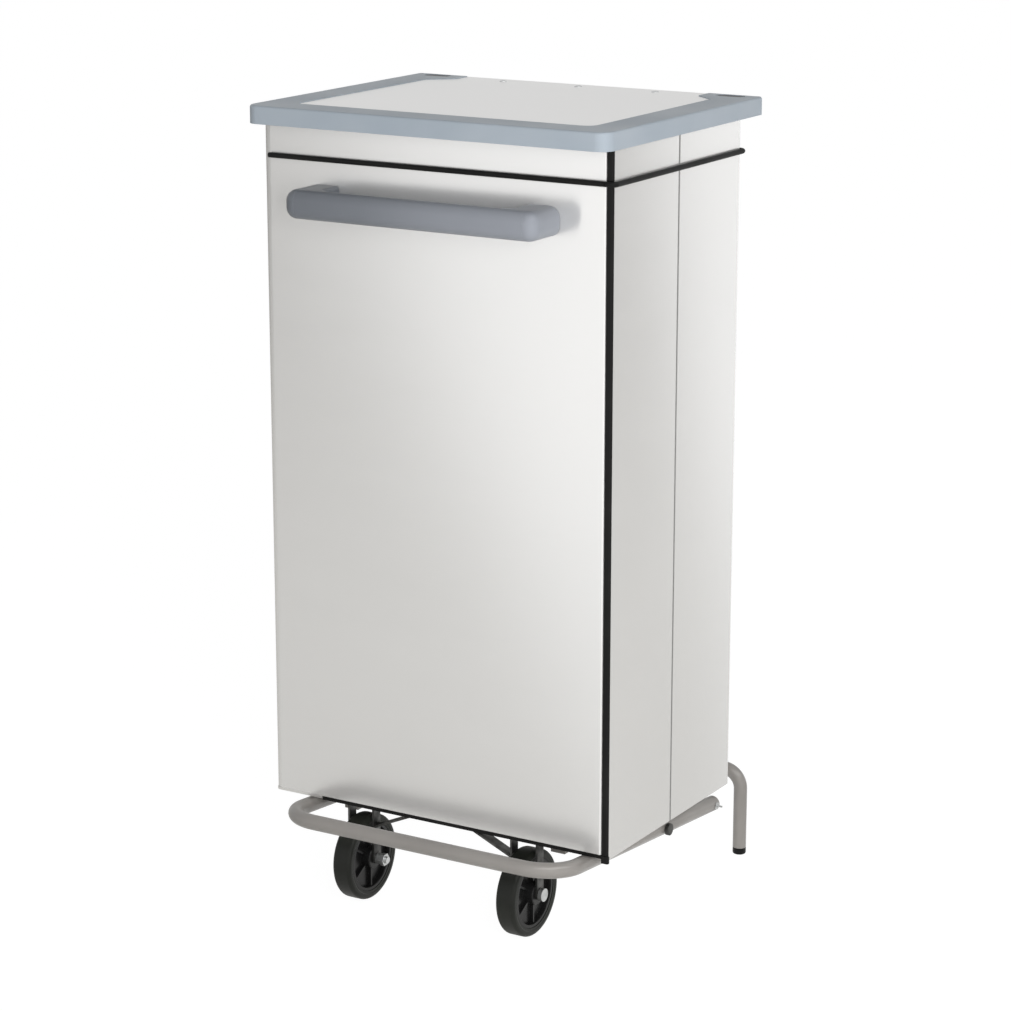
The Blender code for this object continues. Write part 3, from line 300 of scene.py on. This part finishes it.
def natural_nylon(name):
    """Milky nylon that yellows a little in patches."""
    nylon = Finish(name, **{"Subsurface Weight": 0.08})
    aged = nylon.place.noise(60.0, 3.0).between(0.35, 0.75)
    skin = nylon.place.noise(1200.0, 2.0)
    return nylon.wear(aged.tint(NYLON_WHITE, NYLON_AGED), 0.42 + 0.1 * aged, skin.bump(0.0002, 0.08))


low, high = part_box("door_panel")
lip_x = low.x + DOOR_LIP
skin = [(lip_x, high.y), (low.x, high.y), (low.x, low.y), (high.x, low.y), (high.x, high.y),
        (high.x - SHEET, high.y), (high.x - SHEET, low.y + SHEET), (low.x + SHEET, low.y + SHEET),
        (low.x + SHEET, high.y - SHEET), (lip_x, high.y - SHEET)]
rolls = {1: DOOR_ROLL, 2: DOOR_ROLL, 7: DOOR_ROLL_INSIDE, 8: DOOR_ROLL_INSIDE,
         3: DOOR_EDGE, 6: DOOR_EDGE - SHEET}
add_piece("door_skin", solid_from(skin, low.z, high.z, rolls, 14), body_steel, "door", "steel", "door_panel")
dress(inside_steel, "door_liner", "hinge_plate_bottom", "hinge_plate_top")
nylon = natural_nylon("natural_nylon")
dress(nylon, "hinge_bush_bottom", "hinge_bush_top")


# Handle. A hollow grey moulding with a flat grip and two arms, held by a screw through the door into each arm.
# Its two halves meet in a fine line at each elbow.
HANDLE_ARM = 0.039
HANDLE_BAR = 0.018
HANDLE_ELBOW = 0.0138
HANDLE_INNER_ELBOW = 0.012
HANDLE_EDGE = 0.0122
HANDLE_INNER_EDGE = 0.0045
HANDLE_JOINT = 0.0150
HANDLE_GROOVE = 0.0003
# The two handle colours carry painted light: the first is the shaded left end, the second the lit and worn right
# end.
HANDLE_BLUE = (0.132, 0.145, 0.163, 1.0)
HANDLE_WORN_AND_LIT = (0.318, 0.336, 0.376, 1.0)


def grained_plastic(name, colour, worn, roughness, shine=0.45, painted_light_drift=0.0):
    """Moulded plastic with a fine spark-eroded grain and slightly polished patches, lighter to the right by
    painted light.
    """
    plastic = Finish(name, **{"Specular IOR Level": shine})
    patches = plastic.place.noise(9.0, 3.0).between(0.3, 0.75)
    pits = plastic.place.noise(1500.0, 2.0, 0.6)
    across = plastic.wire.node("ShaderNodeSeparateXYZ", inputs={0: plastic.place}, output="X")
    # The share along x is painted light: the colour runs lighter towards the right, as if lit from there.
    wear = (1.0 - painted_light_drift) * (0.75 * patches + 0.25 * pits) + painted_light_drift * across.between(-0.19, 0.19)
    return plastic.wear(wear.tint(colour, worn), roughness - 0.08 * patches + 0.06 * pits,
                        pits.bump(0.00025, 0.10))


# Most of the handle's colour is painted light, dark at its left end and light at its right, with real worn
# patches over it.
handle_grey = grained_plastic("handle_plastic", HANDLE_BLUE, HANDLE_WORN_AND_LIT, 0.40, painted_light_drift=0.85)
low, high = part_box("door_handle")
inner_x = high.x - HANDLE_ARM
grip_y = low.y + HANDLE_BAR
half_bow = [(inner_x, grip_y), (inner_x, high.y), (high.x, high.y), (high.x, low.y)]
outline = half_bow + [(-x, y) for x, y in reversed(half_bow)]
elbows = {0: HANDLE_INNER_ELBOW, 7: HANDLE_INNER_ELBOW, 3: HANDLE_ELBOW, 4: HANDLE_ELBOW}
bow = solid_from(outline, low.z, high.z, elbows, 16)
rims = [edge for level in (low.z, high.z) for edge in edges_at(bow, level)]
rims = [edge for edge in rims if min(vert.co.y for vert in edge.verts) < high.y - 1e-4]
grip_side = {edge for edge in rims if all(abs(vert.co.x) < inner_x + 1e-5 and vert.co.y > grip_y - 1e-5
                                          for vert in edge.verts)}
soften(bow, [edge for edge in rims if edge not in grip_side], HANDLE_EDGE, 8)
soften(bow, [edge for edge in grip_side if edge.is_valid], HANDLE_INNER_EDGE, 4)
for joint_x in (HANDLE_JOINT - high.x, high.x - HANDLE_JOINT):
    for step in (-HANDLE_GROOVE, 0, HANDLE_GROOVE):
        bmesh.ops.bisect_plane(bow, geom=bow.verts[:] + bow.edges[:] + bow.faces[:], dist=1e-7,
                               plane_co=(joint_x + step, 0, 0), plane_no=(1, 0, 0))
bow.normal_update()
for vert in bow.verts:
    if abs(abs(vert.co.x) - high.x + HANDLE_JOINT) < 1e-6:
        vert.co -= HANDLE_GROOVE * vert.normal
add_piece("door_bow_handle", bow, handle_grey, "door", "handle_plastic", "door_handle")


# Bag band. A round black elastic cord that grips the bag's rim. One length crosses the door, and the other
# goes round the seal, the sides and the back.
BAND_SIDES = 20
BAND_RADIUS = 0.0029
BAND_PARTING = 0.0008
BAND_CLEARANCE = 0.0003


def bent_tube(start, heading, radius, moves, sides):
    """A ring pushed along: a number runs straight on, and (centre, axis, degrees) swings round a bend."""
    shape = bmesh.new()
    heading = Vector(heading).normalized()
    ring = bmesh.ops.create_circle(shape, cap_ends=True, radius=radius, segments=sides)["verts"]
    turn = heading.to_track_quat("Z", "Y").to_matrix().to_4x4()
    bmesh.ops.transform(shape, matrix=Matrix.Translation(start) @ turn, verts=ring)
    rim = list(shape.edges)
    for move in moves:
        if isinstance(move, tuple):
            centre, axis, degrees = move
            steps = max(3, round(abs(degrees) / 6))
            points = list({vert for edge in rim for vert in edge.verts})
            swung = bmesh.ops.spin(shape, geom=points + rim, cent=centre, axis=axis, steps=steps,
                                   angle=math.radians(degrees), use_duplicate=False)["geom_last"]
            heading = Matrix.Rotation(math.radians(degrees), 3, Vector(axis)) @ heading
        else:
            swung = bmesh.ops.extrude_edge_only(shape, edges=rim)["geom"]
            bmesh.ops.translate(shape, verts=[item for item in swung if isinstance(item, bmesh.types.BMVert)],
                                vec=heading * move)
        fresh = {item for item in swung if isinstance(item, bmesh.types.BMVert)}
        rim = [item for item in swung if isinstance(item, bmesh.types.BMEdge) and set(item.verts) <= fresh]
    bmesh.ops.edgeloop_fill(shape, edges=rim)
    bmesh.ops.recalc_face_normals(shape, faces=shape.faces)
    return shape


band_rubber = black_rubber("band_rubber", RUBBER_BLACK, RUBBER_DUSTY, 0.46, 500.0)
low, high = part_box("band_front")
band_z = (low.z + high.z) / 2
band_y = high.y - BAND_RADIUS
cord = bent_tube((low.x, band_y, band_z), (1, 0, 0), BAND_RADIUS, [high.x - low.x], BAND_SIDES)
add_piece("bag_band_door", cord, band_rubber, "door", "rubber", "band_front")

start_x = high.x + BAND_PARTING
side_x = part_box("side_panel_right")[1].x + BAND_CLEARANCE + BAND_RADIUS
rear_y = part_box("rear_shell")[1].y + BAND_CLEARANCE + BAND_RADIUS
front_bend = BAND_RADIUS + SEAL_NOSE
rear_bend = BAND_RADIUS + BACK_FOLD
end_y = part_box("side_panel_left")[0].y + SHEET
moves = [side_x - front_bend - start_x,
         ((side_x - front_bend, band_y + front_bend, band_z), (0, 0, 1), 90),
         rear_y - rear_bend - band_y - front_bend,
         ((side_x - rear_bend, rear_y - rear_bend, band_z), (0, 0, 1), 90),
         2 * (side_x - rear_bend),
         ((rear_bend - side_x, rear_y - rear_bend, band_z), (0, 0, 1), 90),
         rear_y - rear_bend - end_y]
cord = bent_tube((start_x, band_y, band_z), (1, 0, 0), BAND_RADIUS, moves, BAND_SIDES)
add_piece("bag_band_body", cord, band_rubber, "bin", "rubber", "band_body")


# Lid hinge. A rolled steel leaf under the lid turns on a plated pin between two arms that are welded to
# the back, and rubber pads under the lid's sides quieten its fall.
ZINC_BRIGHT = (0.70, 0.71, 0.71, 1.0)
ZINC_DULL = (0.52, 0.53, 0.53, 1.0)


def zinc_plate(name, bright, dull, roughness):
    """Zinc with the faint blotches that plating leaves."""
    zinc = Finish(name, Metallic=1.0)
    blotches = zinc.place.noise(70.0, 4.0, 0.6).between(0.3, 0.75)
    fine = zinc.place.noise(700.0, 2.0)
    return zinc.wear(blotches.tint(bright, dull), roughness + 0.16 * blotches + 0.06 * fine,
                     fine.bump(0.0002, 0.08))


zinc = zinc_plate("zinc_plate", ZINC_BRIGHT, ZINC_DULL, 0.28)
dress(inside_steel, "lid_hinge_leaf", "lid_hinge_arm_left", "lid_hinge_arm_right")
dress(zinc, "lid_hinge_pin", "hinge_pin_bottom", "hinge_pin_top", "handle_screw_left", "handle_screw_right")
dress(seal_rubber, "lid_buffer_left", "lid_buffer_right")


# Lid frame. A blue-grey moulding like a deep picture frame that is open at the back, with a skirt all round,
# soft outer edges and an oblong pocket with a black plug in each rear corner.
LID_BAR = 0.040
LID_SKIRT = 0.0025
LID_FLANGE = 0.0075
LID_FRONT_CORNER = 0.016
LID_REAR_CORNER = 0.004
LID_INNER_CORNER = 0.012
LID_TOP_EDGE = 0.0028
LID_WINDOW_EDGE = 0.0007
STUB_LENGTH = 0.0665
STUB_DEPTH = 0.028
STUB_SLANT = 0.022
POCKET_LENGTH = 0.034
POCKET_WIDTH = 0.016
POCKET_DEPTH = 0.004
PLUG_SINK = 0.0006
PLUG_EDGE = 0.0008
LID_BLUE = (0.365, 0.420, 0.475, 1.0)
LID_WORN = (0.420, 0.470, 0.520, 1.0)

lid_grey = grained_plastic("lid_plastic", LID_BLUE, LID_WORN, 0.42)
low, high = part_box("lid_frame")
window_x = high.x - LID_BAR
window_y = low.y + LID_BAR
stub_x = high.x - STUB_LENGTH
stub_y = high.y - STUB_DEPTH
half_frame = [(window_x, window_y), (window_x, stub_y - STUB_SLANT), (stub_x, stub_y), (stub_x, high.y),
              (high.x, high.y), (high.x, low.y)]
outline = half_frame + [(-x, y) for x, y in reversed(half_frame)]
corners = {0: LID_INNER_CORNER, 11: LID_INNER_CORNER, 4: LID_REAR_CORNER, 7: LID_REAR_CORNER,
           5: LID_FRONT_CORNER, 6: LID_FRONT_CORNER}
lid = solid_from(outline, low.z, high.z, corners, 12)
underside = min(lid.faces, key=lambda face: face.calc_center_median().z)
bmesh.ops.inset_region(lid, faces=[underside], thickness=LID_SKIRT, use_even_offset=True)
hollow = bmesh.ops.extrude_face_region(lid, geom=[underside])["geom"]
bmesh.ops.translate(lid, verts=[item for item in hollow if isinstance(item, bmesh.types.BMVert)],
                    vec=(0, 0, high.z - LID_FLANGE - low.z))
if underside.is_valid:
    bmesh.ops.delete(lid, geom=[underside], context="FACES_ONLY")


def cut_away(shape, cutter):
    """One shape with another taken out of it."""
    pair = []
    for solid in (shape, cutter):
        mesh = bpy.data.meshes.new("cut")
        solid.to_mesh(mesh)
        solid.free()
        pair.append(bpy.data.objects.new("cut", mesh))
        bpy.context.scene.collection.objects.link(pair[-1])
    cut = pair[0].modifiers.new("cut", "BOOLEAN")
    cut.operation = "DIFFERENCE"
    cut.solver = "EXACT"
    cut.object = pair[1]
    result = bmesh.new()
    result.from_object(pair[0], bpy.context.evaluated_depsgraph_get())
    for spent in pair:
        mesh = spent.data
        bpy.data.objects.remove(spent, do_unlink=True)
        bpy.data.meshes.remove(mesh)
    return result


def on_outside(edge):
    """Whether an edge lies on the lid's outer line rather than round its window."""
    middle = (edge.verts[0].co + edge.verts[1].co) / 2
    beside = abs(middle.x) > window_x + LID_BAR / 2
    return beside or middle.y < window_y - LID_BAR / 2 or middle.y > high.y - 1e-4


rims = edges_at(lid, high.z)
outer_rim = [edge for edge in rims if on_outside(edge)]
inner_rim = [edge for edge in rims if not on_outside(edge)]
soften(lid, outer_rim, LID_TOP_EDGE, 5)
soften(lid, [edge for edge in inner_rim if edge.is_valid], LID_WINDOW_EDGE, 2)
for side, middle_x in (("left", STUB_LENGTH / 2 - high.x), ("right", high.x - STUB_LENGTH / 2)):
    middle_y = high.y - STUB_DEPTH / 2
    outline = [(middle_x + across * POCKET_LENGTH / 2, middle_y + along * POCKET_WIDTH / 2)
               for across, along in ((-1, -1), (1, -1), (1, 1), (-1, 1))]
    ends = {number: 0.49 * POCKET_WIDTH for number in range(4)}
    lid = cut_away(lid, solid_from(outline, high.z - POCKET_DEPTH, high.z + POCKET_DEPTH, ends, 8))
    plug = solid_from(outline, high.z - POCKET_DEPTH, high.z - PLUG_SINK, ends, 8)
    soften(plug, edges_at(plug, high.z - PLUG_SINK), PLUG_EDGE, 3)
    add_piece(f"lid_plug_{side}", plug, seal_rubber, "lid", "rubber")
add_piece("lid_moulding", lid, lid_grey, "lid", "lid_plastic", "lid_frame")


# Lid plate. A flat steel sheet dropped into the moulding and riveted to the hinge leaf along its back edge
# with three low domed rivets.
RIVET_HEAD = 0.0045
RIVET_RISE = 0.0013
RIVET_SEAT = 0.0001


def dome(profile, centre, steps):
    """A profile of (radius, height) points spun once round an upright axis."""
    shape = bmesh.new()
    points = [shape.verts.new(centre + Vector((radius, 0, height))) for radius, height in profile]
    line = [shape.edges.new(pair) for pair in zip(points, points[1:])]
    bmesh.ops.spin(shape, geom=points + line, cent=centre, axis=(0, 0, 1), angle=2 * math.pi, steps=steps,
                   use_merge=True, use_duplicate=False)
    bmesh.ops.remove_doubles(shape, verts=shape.verts, dist=1e-6)
    bmesh.ops.recalc_face_normals(shape, faces=shape.faces)
    return shape


dress(satin_steel("lid_steel", 0.27), "lid_plate")
plate_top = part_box("lid_plate")[1].z
for place in ("left", "middle", "right"):
    low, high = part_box(f"lid_rivet_{place}")
    middle = Vector(((low.x + high.x) / 2, (low.y + high.y) / 2, plate_top))
    arch = [(RIVET_HEAD * math.cos(turn), RIVET_RISE * math.sin(turn))
            for turn in (math.radians(18 * step) for step in range(6))]
    shank = (high.x - low.x) / 4
    foot = low.z - plate_top
    rivet = [(0, foot), (shank, foot), (shank, -RIVET_SEAT), (RIVET_HEAD, -RIVET_SEAT)]
    rivet += arch[:-1] + [(0, RIVET_RISE)]
    add_piece(f"lid_dome_rivet_{place}", dome(rivet, middle, 32), zinc, "lid", "zinc", f"lid_rivet_{place}")


# Lift. A plated steel lever under the lid's right rear corner, and a flat push rod down the back that turns it.
# The rod slides in two nylon guides on the rear wall.
dress(zinc, "lid_lever", "push_rod")
dress(nylon, "rod_guide_lower", "rod_guide_upper")


# Foot pedal. One length of 18 mm tube bent into a U and painted warm grey, which rocks on two bolts
# in plates under the floor. A pin through its right end lifts the push rod.
PEDAL_RADIUS = 0.009
PEDAL_HEIGHT = 0.110
PEDAL_BEND = 0.044
PEDAL_SLOPE = 0.089
TUBE_SIDES = 32
TUBE_LIGHT = (0.305, 0.287, 0.268, 1.0)
TUBE_DARK = (0.262, 0.246, 0.230, 1.0)
# These two zinc colours are painted shade: zinc darkened for the shadow under the floor.
SHADED_ZINC_GREY = (0.15, 0.15, 0.146, 1.0)
SHADED_ZINC_DARK = (0.07, 0.07, 0.068, 1.0)


def painted_tube(name):
    """Warm grey powder coat with a slight orange peel and faint rubbed marks."""
    paint = Finish(name, **{"Coat Weight": 0.35, "Coat Roughness": 0.16})
    rubbed = paint.place.noise(11.0, 4.0).between(0.35, 0.75)
    peel = paint.place.noise(420.0, 1.5)
    return paint.wear(rubbed.tint(TUBE_LIGHT, TUBE_DARK), 0.30 + 0.10 * rubbed, peel.bump(0.0003, 0.08))


tube_paint = painted_tube("tube_paint")
low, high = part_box("pedal_tube")
right_x = high.x - PEDAL_RADIUS
left_x = low.x + PEDAL_RADIUS
bar_y = low.y + PEDAL_RADIUS
run = high.y - bar_y - PEDAL_BEND
moves = [run, ((right_x - PEDAL_BEND, bar_y + PEDAL_BEND, PEDAL_HEIGHT), (0, 0, -1), 90),
         right_x - left_x - 2 * PEDAL_BEND,
         ((left_x + PEDAL_BEND, bar_y + PEDAL_BEND, PEDAL_HEIGHT), (0, 0, -1), 90), run]
loop = bent_tube((right_x, high.y, PEDAL_HEIGHT), (0, -1, 0), PEDAL_RADIUS, moves, TUBE_SIDES)
lean = Matrix(((1, 0, 0, 0), (0, 1, 0, 0), (0, -PEDAL_SLOPE, 1, PEDAL_SLOPE * bar_y), (0, 0, 0, 1)))
bmesh.ops.transform(loop, matrix=lean, verts=loop.verts)
add_piece("pedal_loop", loop, tube_paint, "pedal", "tube_paint", "pedal_tube")
# Dark zinc for the parts under the floor; its dark colour is painted shade from the floor above them.
shaded_zinc = zinc_plate("shaded_zinc", SHADED_ZINC_GREY, SHADED_ZINC_DARK, 0.40)
dress(zinc, "pedal_pin")
dress(shaded_zinc, "pedal_bracket_left", "pedal_bracket_right", "pedal_bolt_left", "pedal_bolt_right")


# Forks. Bent straps of galvanised steel with an inclined stay on the inner side, one to each wheel, their zinc
# darkened as painted shade from under the floor. Rivets hold them under the floor.
dress(shaded_zinc, "fork_left", "fork_right", "fork_rivet_left", "fork_rivet_right")


# Wheels. Black rubber tyres on moulded black hubs with six ribs on each face.
# Each turns on a plated bolt that a nut holds in the fork.
TYRE_SHOULDER = 0.0045
TYRE_BEAD = 0.0012
HUB_FIT = 0.0003
HUB_RIM = 0.004
HUB_RECESS = 0.002
HUB_LIP = 0.0012
HUB_WEB = 0.005
HUB_BOSS = 0.013
HUB_BORE = 0.0044
HUB_EDGE = 0.001
HUB_DRAFT = 0.0015
HUB_RIBS = 6
HUB_RIB = 0.0022
HUB_RIB_SINK = 0.003
TYRE_BLACK = (0.009, 0.010, 0.008, 1.0)
TYRE_DUSTY = (0.024, 0.026, 0.021, 1.0)
HUB_BLACK = (0.004, 0.004, 0.004, 1.0)
HUB_SCUFFED = (0.012, 0.012, 0.012, 1.0)


def ring_about(profile, centre, steps):
    """A closed profile of (x, radius) points spun round an axle that lies along x."""
    shape = bmesh.new()
    points = [shape.verts.new(centre + Vector((x, 0, radius))) for x, radius in profile]
    line = [shape.edges.new(pair) for pair in zip(points, points[1:] + points[:1])]
    bmesh.ops.spin(shape, geom=points + line, cent=centre, axis=(1, 0, 0), angle=2 * math.pi, steps=steps,
                   use_merge=True, use_duplicate=False)
    bmesh.ops.recalc_face_normals(shape, faces=shape.faces)
    return shape


tyre_rubber = black_rubber("tyre_rubber", TYRE_BLACK, TYRE_DUSTY, 0.38, 350.0, 0.28)
hub_plastic = grained_plastic("hub_plastic", HUB_BLACK, HUB_SCUFFED, 0.30, 0.3)
for side, inward in (("left", 1), ("right", -1)):
    low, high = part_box(f"tyre_{side}")
    axle = (low + high) / 2
    half = (high.x - low.x) / 2
    radius = (high.z - low.z) / 2
    hub_low, hub_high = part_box(f"hub_{side}")
    rim = (hub_high.z - hub_low.z) / 2
    seat = rim + HUB_FIT
    quarter = [(half - TYRE_SHOULDER + TYRE_SHOULDER * math.sin(turn),
                radius - TYRE_SHOULDER + TYRE_SHOULDER * math.cos(turn))
               for turn in (math.radians(15 * step) for step in range(7))]
    wall = quarter + [(half, seat + 3 * TYRE_BEAD), (half - TYRE_BEAD / 2, seat + 2 * TYRE_BEAD),
                      (half - TYRE_BEAD / 2, seat)]
    tyre = ring_about(wall + [(-x, height) for x, height in reversed(wall)], axle, 96)
    add_piece(f"wheel_tyre_{side}", tyre, tyre_rubber, f"wheel_{side}", "tyre", f"tyre_{side}", crease=25.0)

    boss_half = (hub_high.x - hub_low.x) / 2
    rim_in = rim - HUB_RIM
    half_hub = [(boss_half, HUB_BORE), (boss_half, HUB_BOSS - HUB_EDGE), (boss_half - HUB_EDGE, HUB_BOSS),
                (HUB_WEB, HUB_BOSS + HUB_DRAFT), (HUB_WEB, rim_in - HUB_EDGE), (half - HUB_RECESS, rim_in),
                (half - HUB_LIP, rim_in + HUB_RECESS - HUB_LIP), (half - HUB_LIP, rim)]
    hub = ring_about(half_hub + [(-x, height) for x, height in reversed(half_hub)], axle, 72)
    rib_height = half - HUB_RIB_SINK - HUB_WEB + HUB_EDGE
    rib_length = rim_in - HUB_BOSS + 2 * HUB_EDGE
    for number in range(HUB_RIBS):
        for face in (-1, 1):
            rib = bmesh.ops.create_cube(hub, size=1.0)["verts"]
            stand_off = face * (HUB_WEB + rib_height / 2 - HUB_EDGE)
            fit = Matrix.Translation(axle) @ Matrix.Rotation(2 * math.pi * number / HUB_RIBS, 4, "X")
            fit = fit @ Matrix.Translation((stand_off, 0, (rim_in + HUB_BOSS) / 2))
            fit = fit @ Matrix.Diagonal((rib_height, HUB_RIB, rib_length, 1))
            bmesh.ops.transform(hub, matrix=fit, verts=rib)
    add_piece(f"wheel_hub_{side}", hub, hub_plastic, f"wheel_{side}", "wheel_plastic", f"hub_{side}")
dress(zinc, "axle_left", "axle_right", "axle_nut_left", "axle_nut_right")


# Rear legs. An inverted U of 16 mm tube in the same paint, carried by two rails under the floor, with
# round black plugs in its feet.
LEG_BEND = 0.022
low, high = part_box("rear_leg_tube")
leg_radius = (high.y - low.y) / 2
leg_x = high.x - leg_radius
leg_y = (low.y + high.y) / 2
bar_z = high.z - leg_radius
rise = bar_z - LEG_BEND - low.z
moves = [rise, ((leg_x - LEG_BEND, leg_y, bar_z - LEG_BEND), (0, -1, 0), 90), 2 * (leg_x - LEG_BEND),
         ((LEG_BEND - leg_x, leg_y, bar_z - LEG_BEND), (0, -1, 0), 90), rise]
legs = bent_tube((leg_x, leg_y, low.z), (0, 0, 1), leg_radius, moves, TUBE_SIDES)
add_piece("rear_legs", legs, tube_paint, "bin", "tube_paint", "rear_leg_tube")
dress(tube_paint, "rail_left", "rail_right")
dress(seal_rubber, "foot_plug_left", "foot_plug_right")


# Studio. A wide pale floor in a bright room whose light comes mostly from the sides, with a large soft lamp at
# the right front corner. What metal mirrors of the floor is dimmer close by and has a warm shade in two places.
FLOOR_SIZE = 60.0
FLOOR_WHITE = (0.90, 0.90, 0.90, 1.0)
FLOOR_NEAR = (0.92, 0.92, 0.91, 1.0)
FLOOR_FAR = (1.18, 1.18, 1.18, 1.0)
FLOOR_WARM_NEAR = (0.62, 0.61, 0.585, 1.0)
FLOOR_WARM_FAR = (0.30, 0.29, 0.275, 1.0)
FLOOR_FADE = (0.6, 2.8)
WARM_FADE = (1.0, 6.0)
FRONT_SLANT = 1.293
FRONT_SHADE = (-0.85, -0.40)
SIDE_SLANT = 1.80
SIDE_SHADE = (-0.02, -0.40)
FLOOR_GLOW = 0.86
FLOOR_STRENGTH = 1.11
ROOM_SIDES = 0.72
ROOM_TOP = 0.30
ROOM_FADE = (0.0, 0.7)
ROOM_MIRRORED = 1.10
ROOM_MIRRORED_TOP = 0.74
MIRRORED_FADE = (0.04, 0.22)
ROOM_MIRRORED_BACK = 0.78
BACK_FADE = (0.02, 0.12)
ROOM_WINDOW = 2.6
WINDOW_SILL = (0.48, 0.58)
WINDOW_HEAD = (0.88, 0.78)
WINDOW_JAMB = (0.38, 0.52)
LAMP_PLACE = Vector((1.9, -1.8, 1.05))
LAMP_AIM = Vector((0, 0, 0.6))
LAMP_WIDTH = 1.2
LAMP_HEIGHT = 1.6
LAMP_POWER = 43

ground = bmesh.new()
bmesh.ops.create_grid(ground, x_segments=1, y_segments=1, size=FLOOR_SIZE / 2)
mesh = bpy.data.meshes.new("studio_floor")
ground.to_mesh(mesh)
ground.free()
floor = bpy.data.objects.new("studio_floor", mesh)
bpy.context.scene.collection.objects.link(floor)
floor_paint = bpy.data.materials.new("studio_floor")
floor_paint.use_nodes = True
tree = floor_paint.node_tree
tree.nodes.clear()
wire = Wire(tree)
spot = wire.node("ShaderNodeTexCoord", output="Object")
x = wire.node("ShaderNodeSeparateXYZ", inputs={0: spot}, output="X")
y = wire.node("ShaderNodeSeparateXYZ", inputs={0: spot}, output="Y")
away = wire.node("ShaderNodeVectorMath", {"operation": "LENGTH"}, {0: spot}, output="Value")
ahead = wire.maths("MAXIMUM", y.between(0.0, -0.2), x.between(0.0, -0.3))
front_zone = (y - FRONT_SLANT * x).between(*FRONT_SHADE) * ahead
side_zone = (y - SIDE_SLANT * x).between(*SIDE_SHADE) * y.between(-0.1, 0.1) * x.between(0.2, 0.3)
plain = away.between(*FLOOR_FADE).tint(FLOOR_NEAR, FLOOR_FAR)
warm = away.between(*WARM_FADE).tint(FLOOR_WARM_NEAR, FLOOR_WARM_FAR)
mirrored = wire.maths("MAXIMUM", front_zone, side_zone).tint(plain, warm)
in_metal = wire.node("ShaderNodeLightPath", output="Is Glossy Ray")
seen = wire.maths("MAXIMUM", wire.node("ShaderNodeLightPath", output="Is Camera Ray"), in_metal)
seen = wire.maths("MAXIMUM", wire.node("ShaderNodeLightPath", output="Is Transmission Ray"), seen)
matt = wire.node("ShaderNodeBsdfDiffuse", inputs={"Color": FLOOR_WHITE})
glow = wire.node("ShaderNodeEmission", inputs={"Color": in_metal.tint((1.0, 1.0, 1.0, 1.0), mirrored),
                                               "Strength": FLOOR_STRENGTH})
surface = wire.node("ShaderNodeMixShader", inputs={0: FLOOR_GLOW * seen, 1: matt, 2: glow})
wire.feed(tree.nodes.new("ShaderNodeOutputMaterial").inputs["Surface"], surface)
mesh.materials.append(floor_paint)

world = bpy.data.worlds.new("studio_room")
world.use_nodes = True
bpy.context.scene.world = world
tree = world.node_tree
wire = Wire(tree)
direction = wire.node("ShaderNodeTexCoord", output="Generated")
height = wire.node("ShaderNodeSeparateXYZ", inputs={0: direction}, output="Z")
level = height.between(*ROOM_FADE, ROOM_SIDES, ROOM_TOP)
in_metal = wire.node("ShaderNodeLightPath", output="Is Glossy Ray")
mirrored = height.between(*MIRRORED_FADE, ROOM_MIRRORED, ROOM_MIRRORED_TOP)
x = wire.node("ShaderNodeSeparateXYZ", inputs={0: direction}, output="X")
y = wire.node("ShaderNodeSeparateXYZ", inputs={0: direction}, output="Y")
behind = (0.8 * y - 0.6 * x).between(0.55, 0.95)
mirrored = mirrored + behind * (height.between(*BACK_FADE, 1.0, ROOM_MIRRORED_BACK) - mirrored)
window = height.between(*WINDOW_SILL) * height.between(*WINDOW_HEAD) * (0.9 * x - 0.43 * y).between(*WINDOW_JAMB)
mirrored = mirrored + ROOM_WINDOW * window
level = level + in_metal * (mirrored - level)
seen = wire.maths("MAXIMUM", wire.node("ShaderNodeLightPath", output="Is Camera Ray"),
                  wire.node("ShaderNodeLightPath", output="Is Transmission Ray"))
level = level + seen * (1.0 - level)
wire.feed(tree.nodes["Background"].inputs["Color"], (1.0, 1.0, 1.0, 1.0))
wire.feed(tree.nodes["Background"].inputs["Strength"], level)

lamp = bpy.data.lights.new("lamp_right", "AREA")
lamp.shape = "RECTANGLE"
lamp.size = LAMP_WIDTH
lamp.size_y = LAMP_HEIGHT
lamp.energy = LAMP_POWER
soft_box = bpy.data.objects.new("lamp_right", lamp)
soft_box.visible_glossy = False
soft_box.location = LAMP_PLACE
soft_box.rotation_euler = (LAMP_AIM - LAMP_PLACE).to_track_quat("-Z", "Y").to_euler()
bpy.context.scene.collection.objects.link(soft_box)


# Camera. It stands to the right in front of the bin, a little above the lid, and looks down on it.
# The lens is long, so that the upright edges hardly converge.
CAMERA_PLACE = (1.7277, -2.8867, 1.3268)
CAMERA_TILT = 75.41
CAMERA_TURN = 30.9
CAMERA_LENS = 108.6
CAMERA_SENSOR = 36.0

camera = bpy.data.objects.new("camera", bpy.data.cameras.new("camera"))
camera.data.lens = CAMERA_LENS
camera.data.sensor_width = CAMERA_SENSOR
camera.location = CAMERA_PLACE
camera.rotation_euler = (math.radians(CAMERA_TILT), 0, math.radians(CAMERA_TURN))
bpy.context.scene.collection.objects.link(camera)
bpy.context.scene.camera = camera
bpy.context.scene.view_settings.view_transform = "Standard"
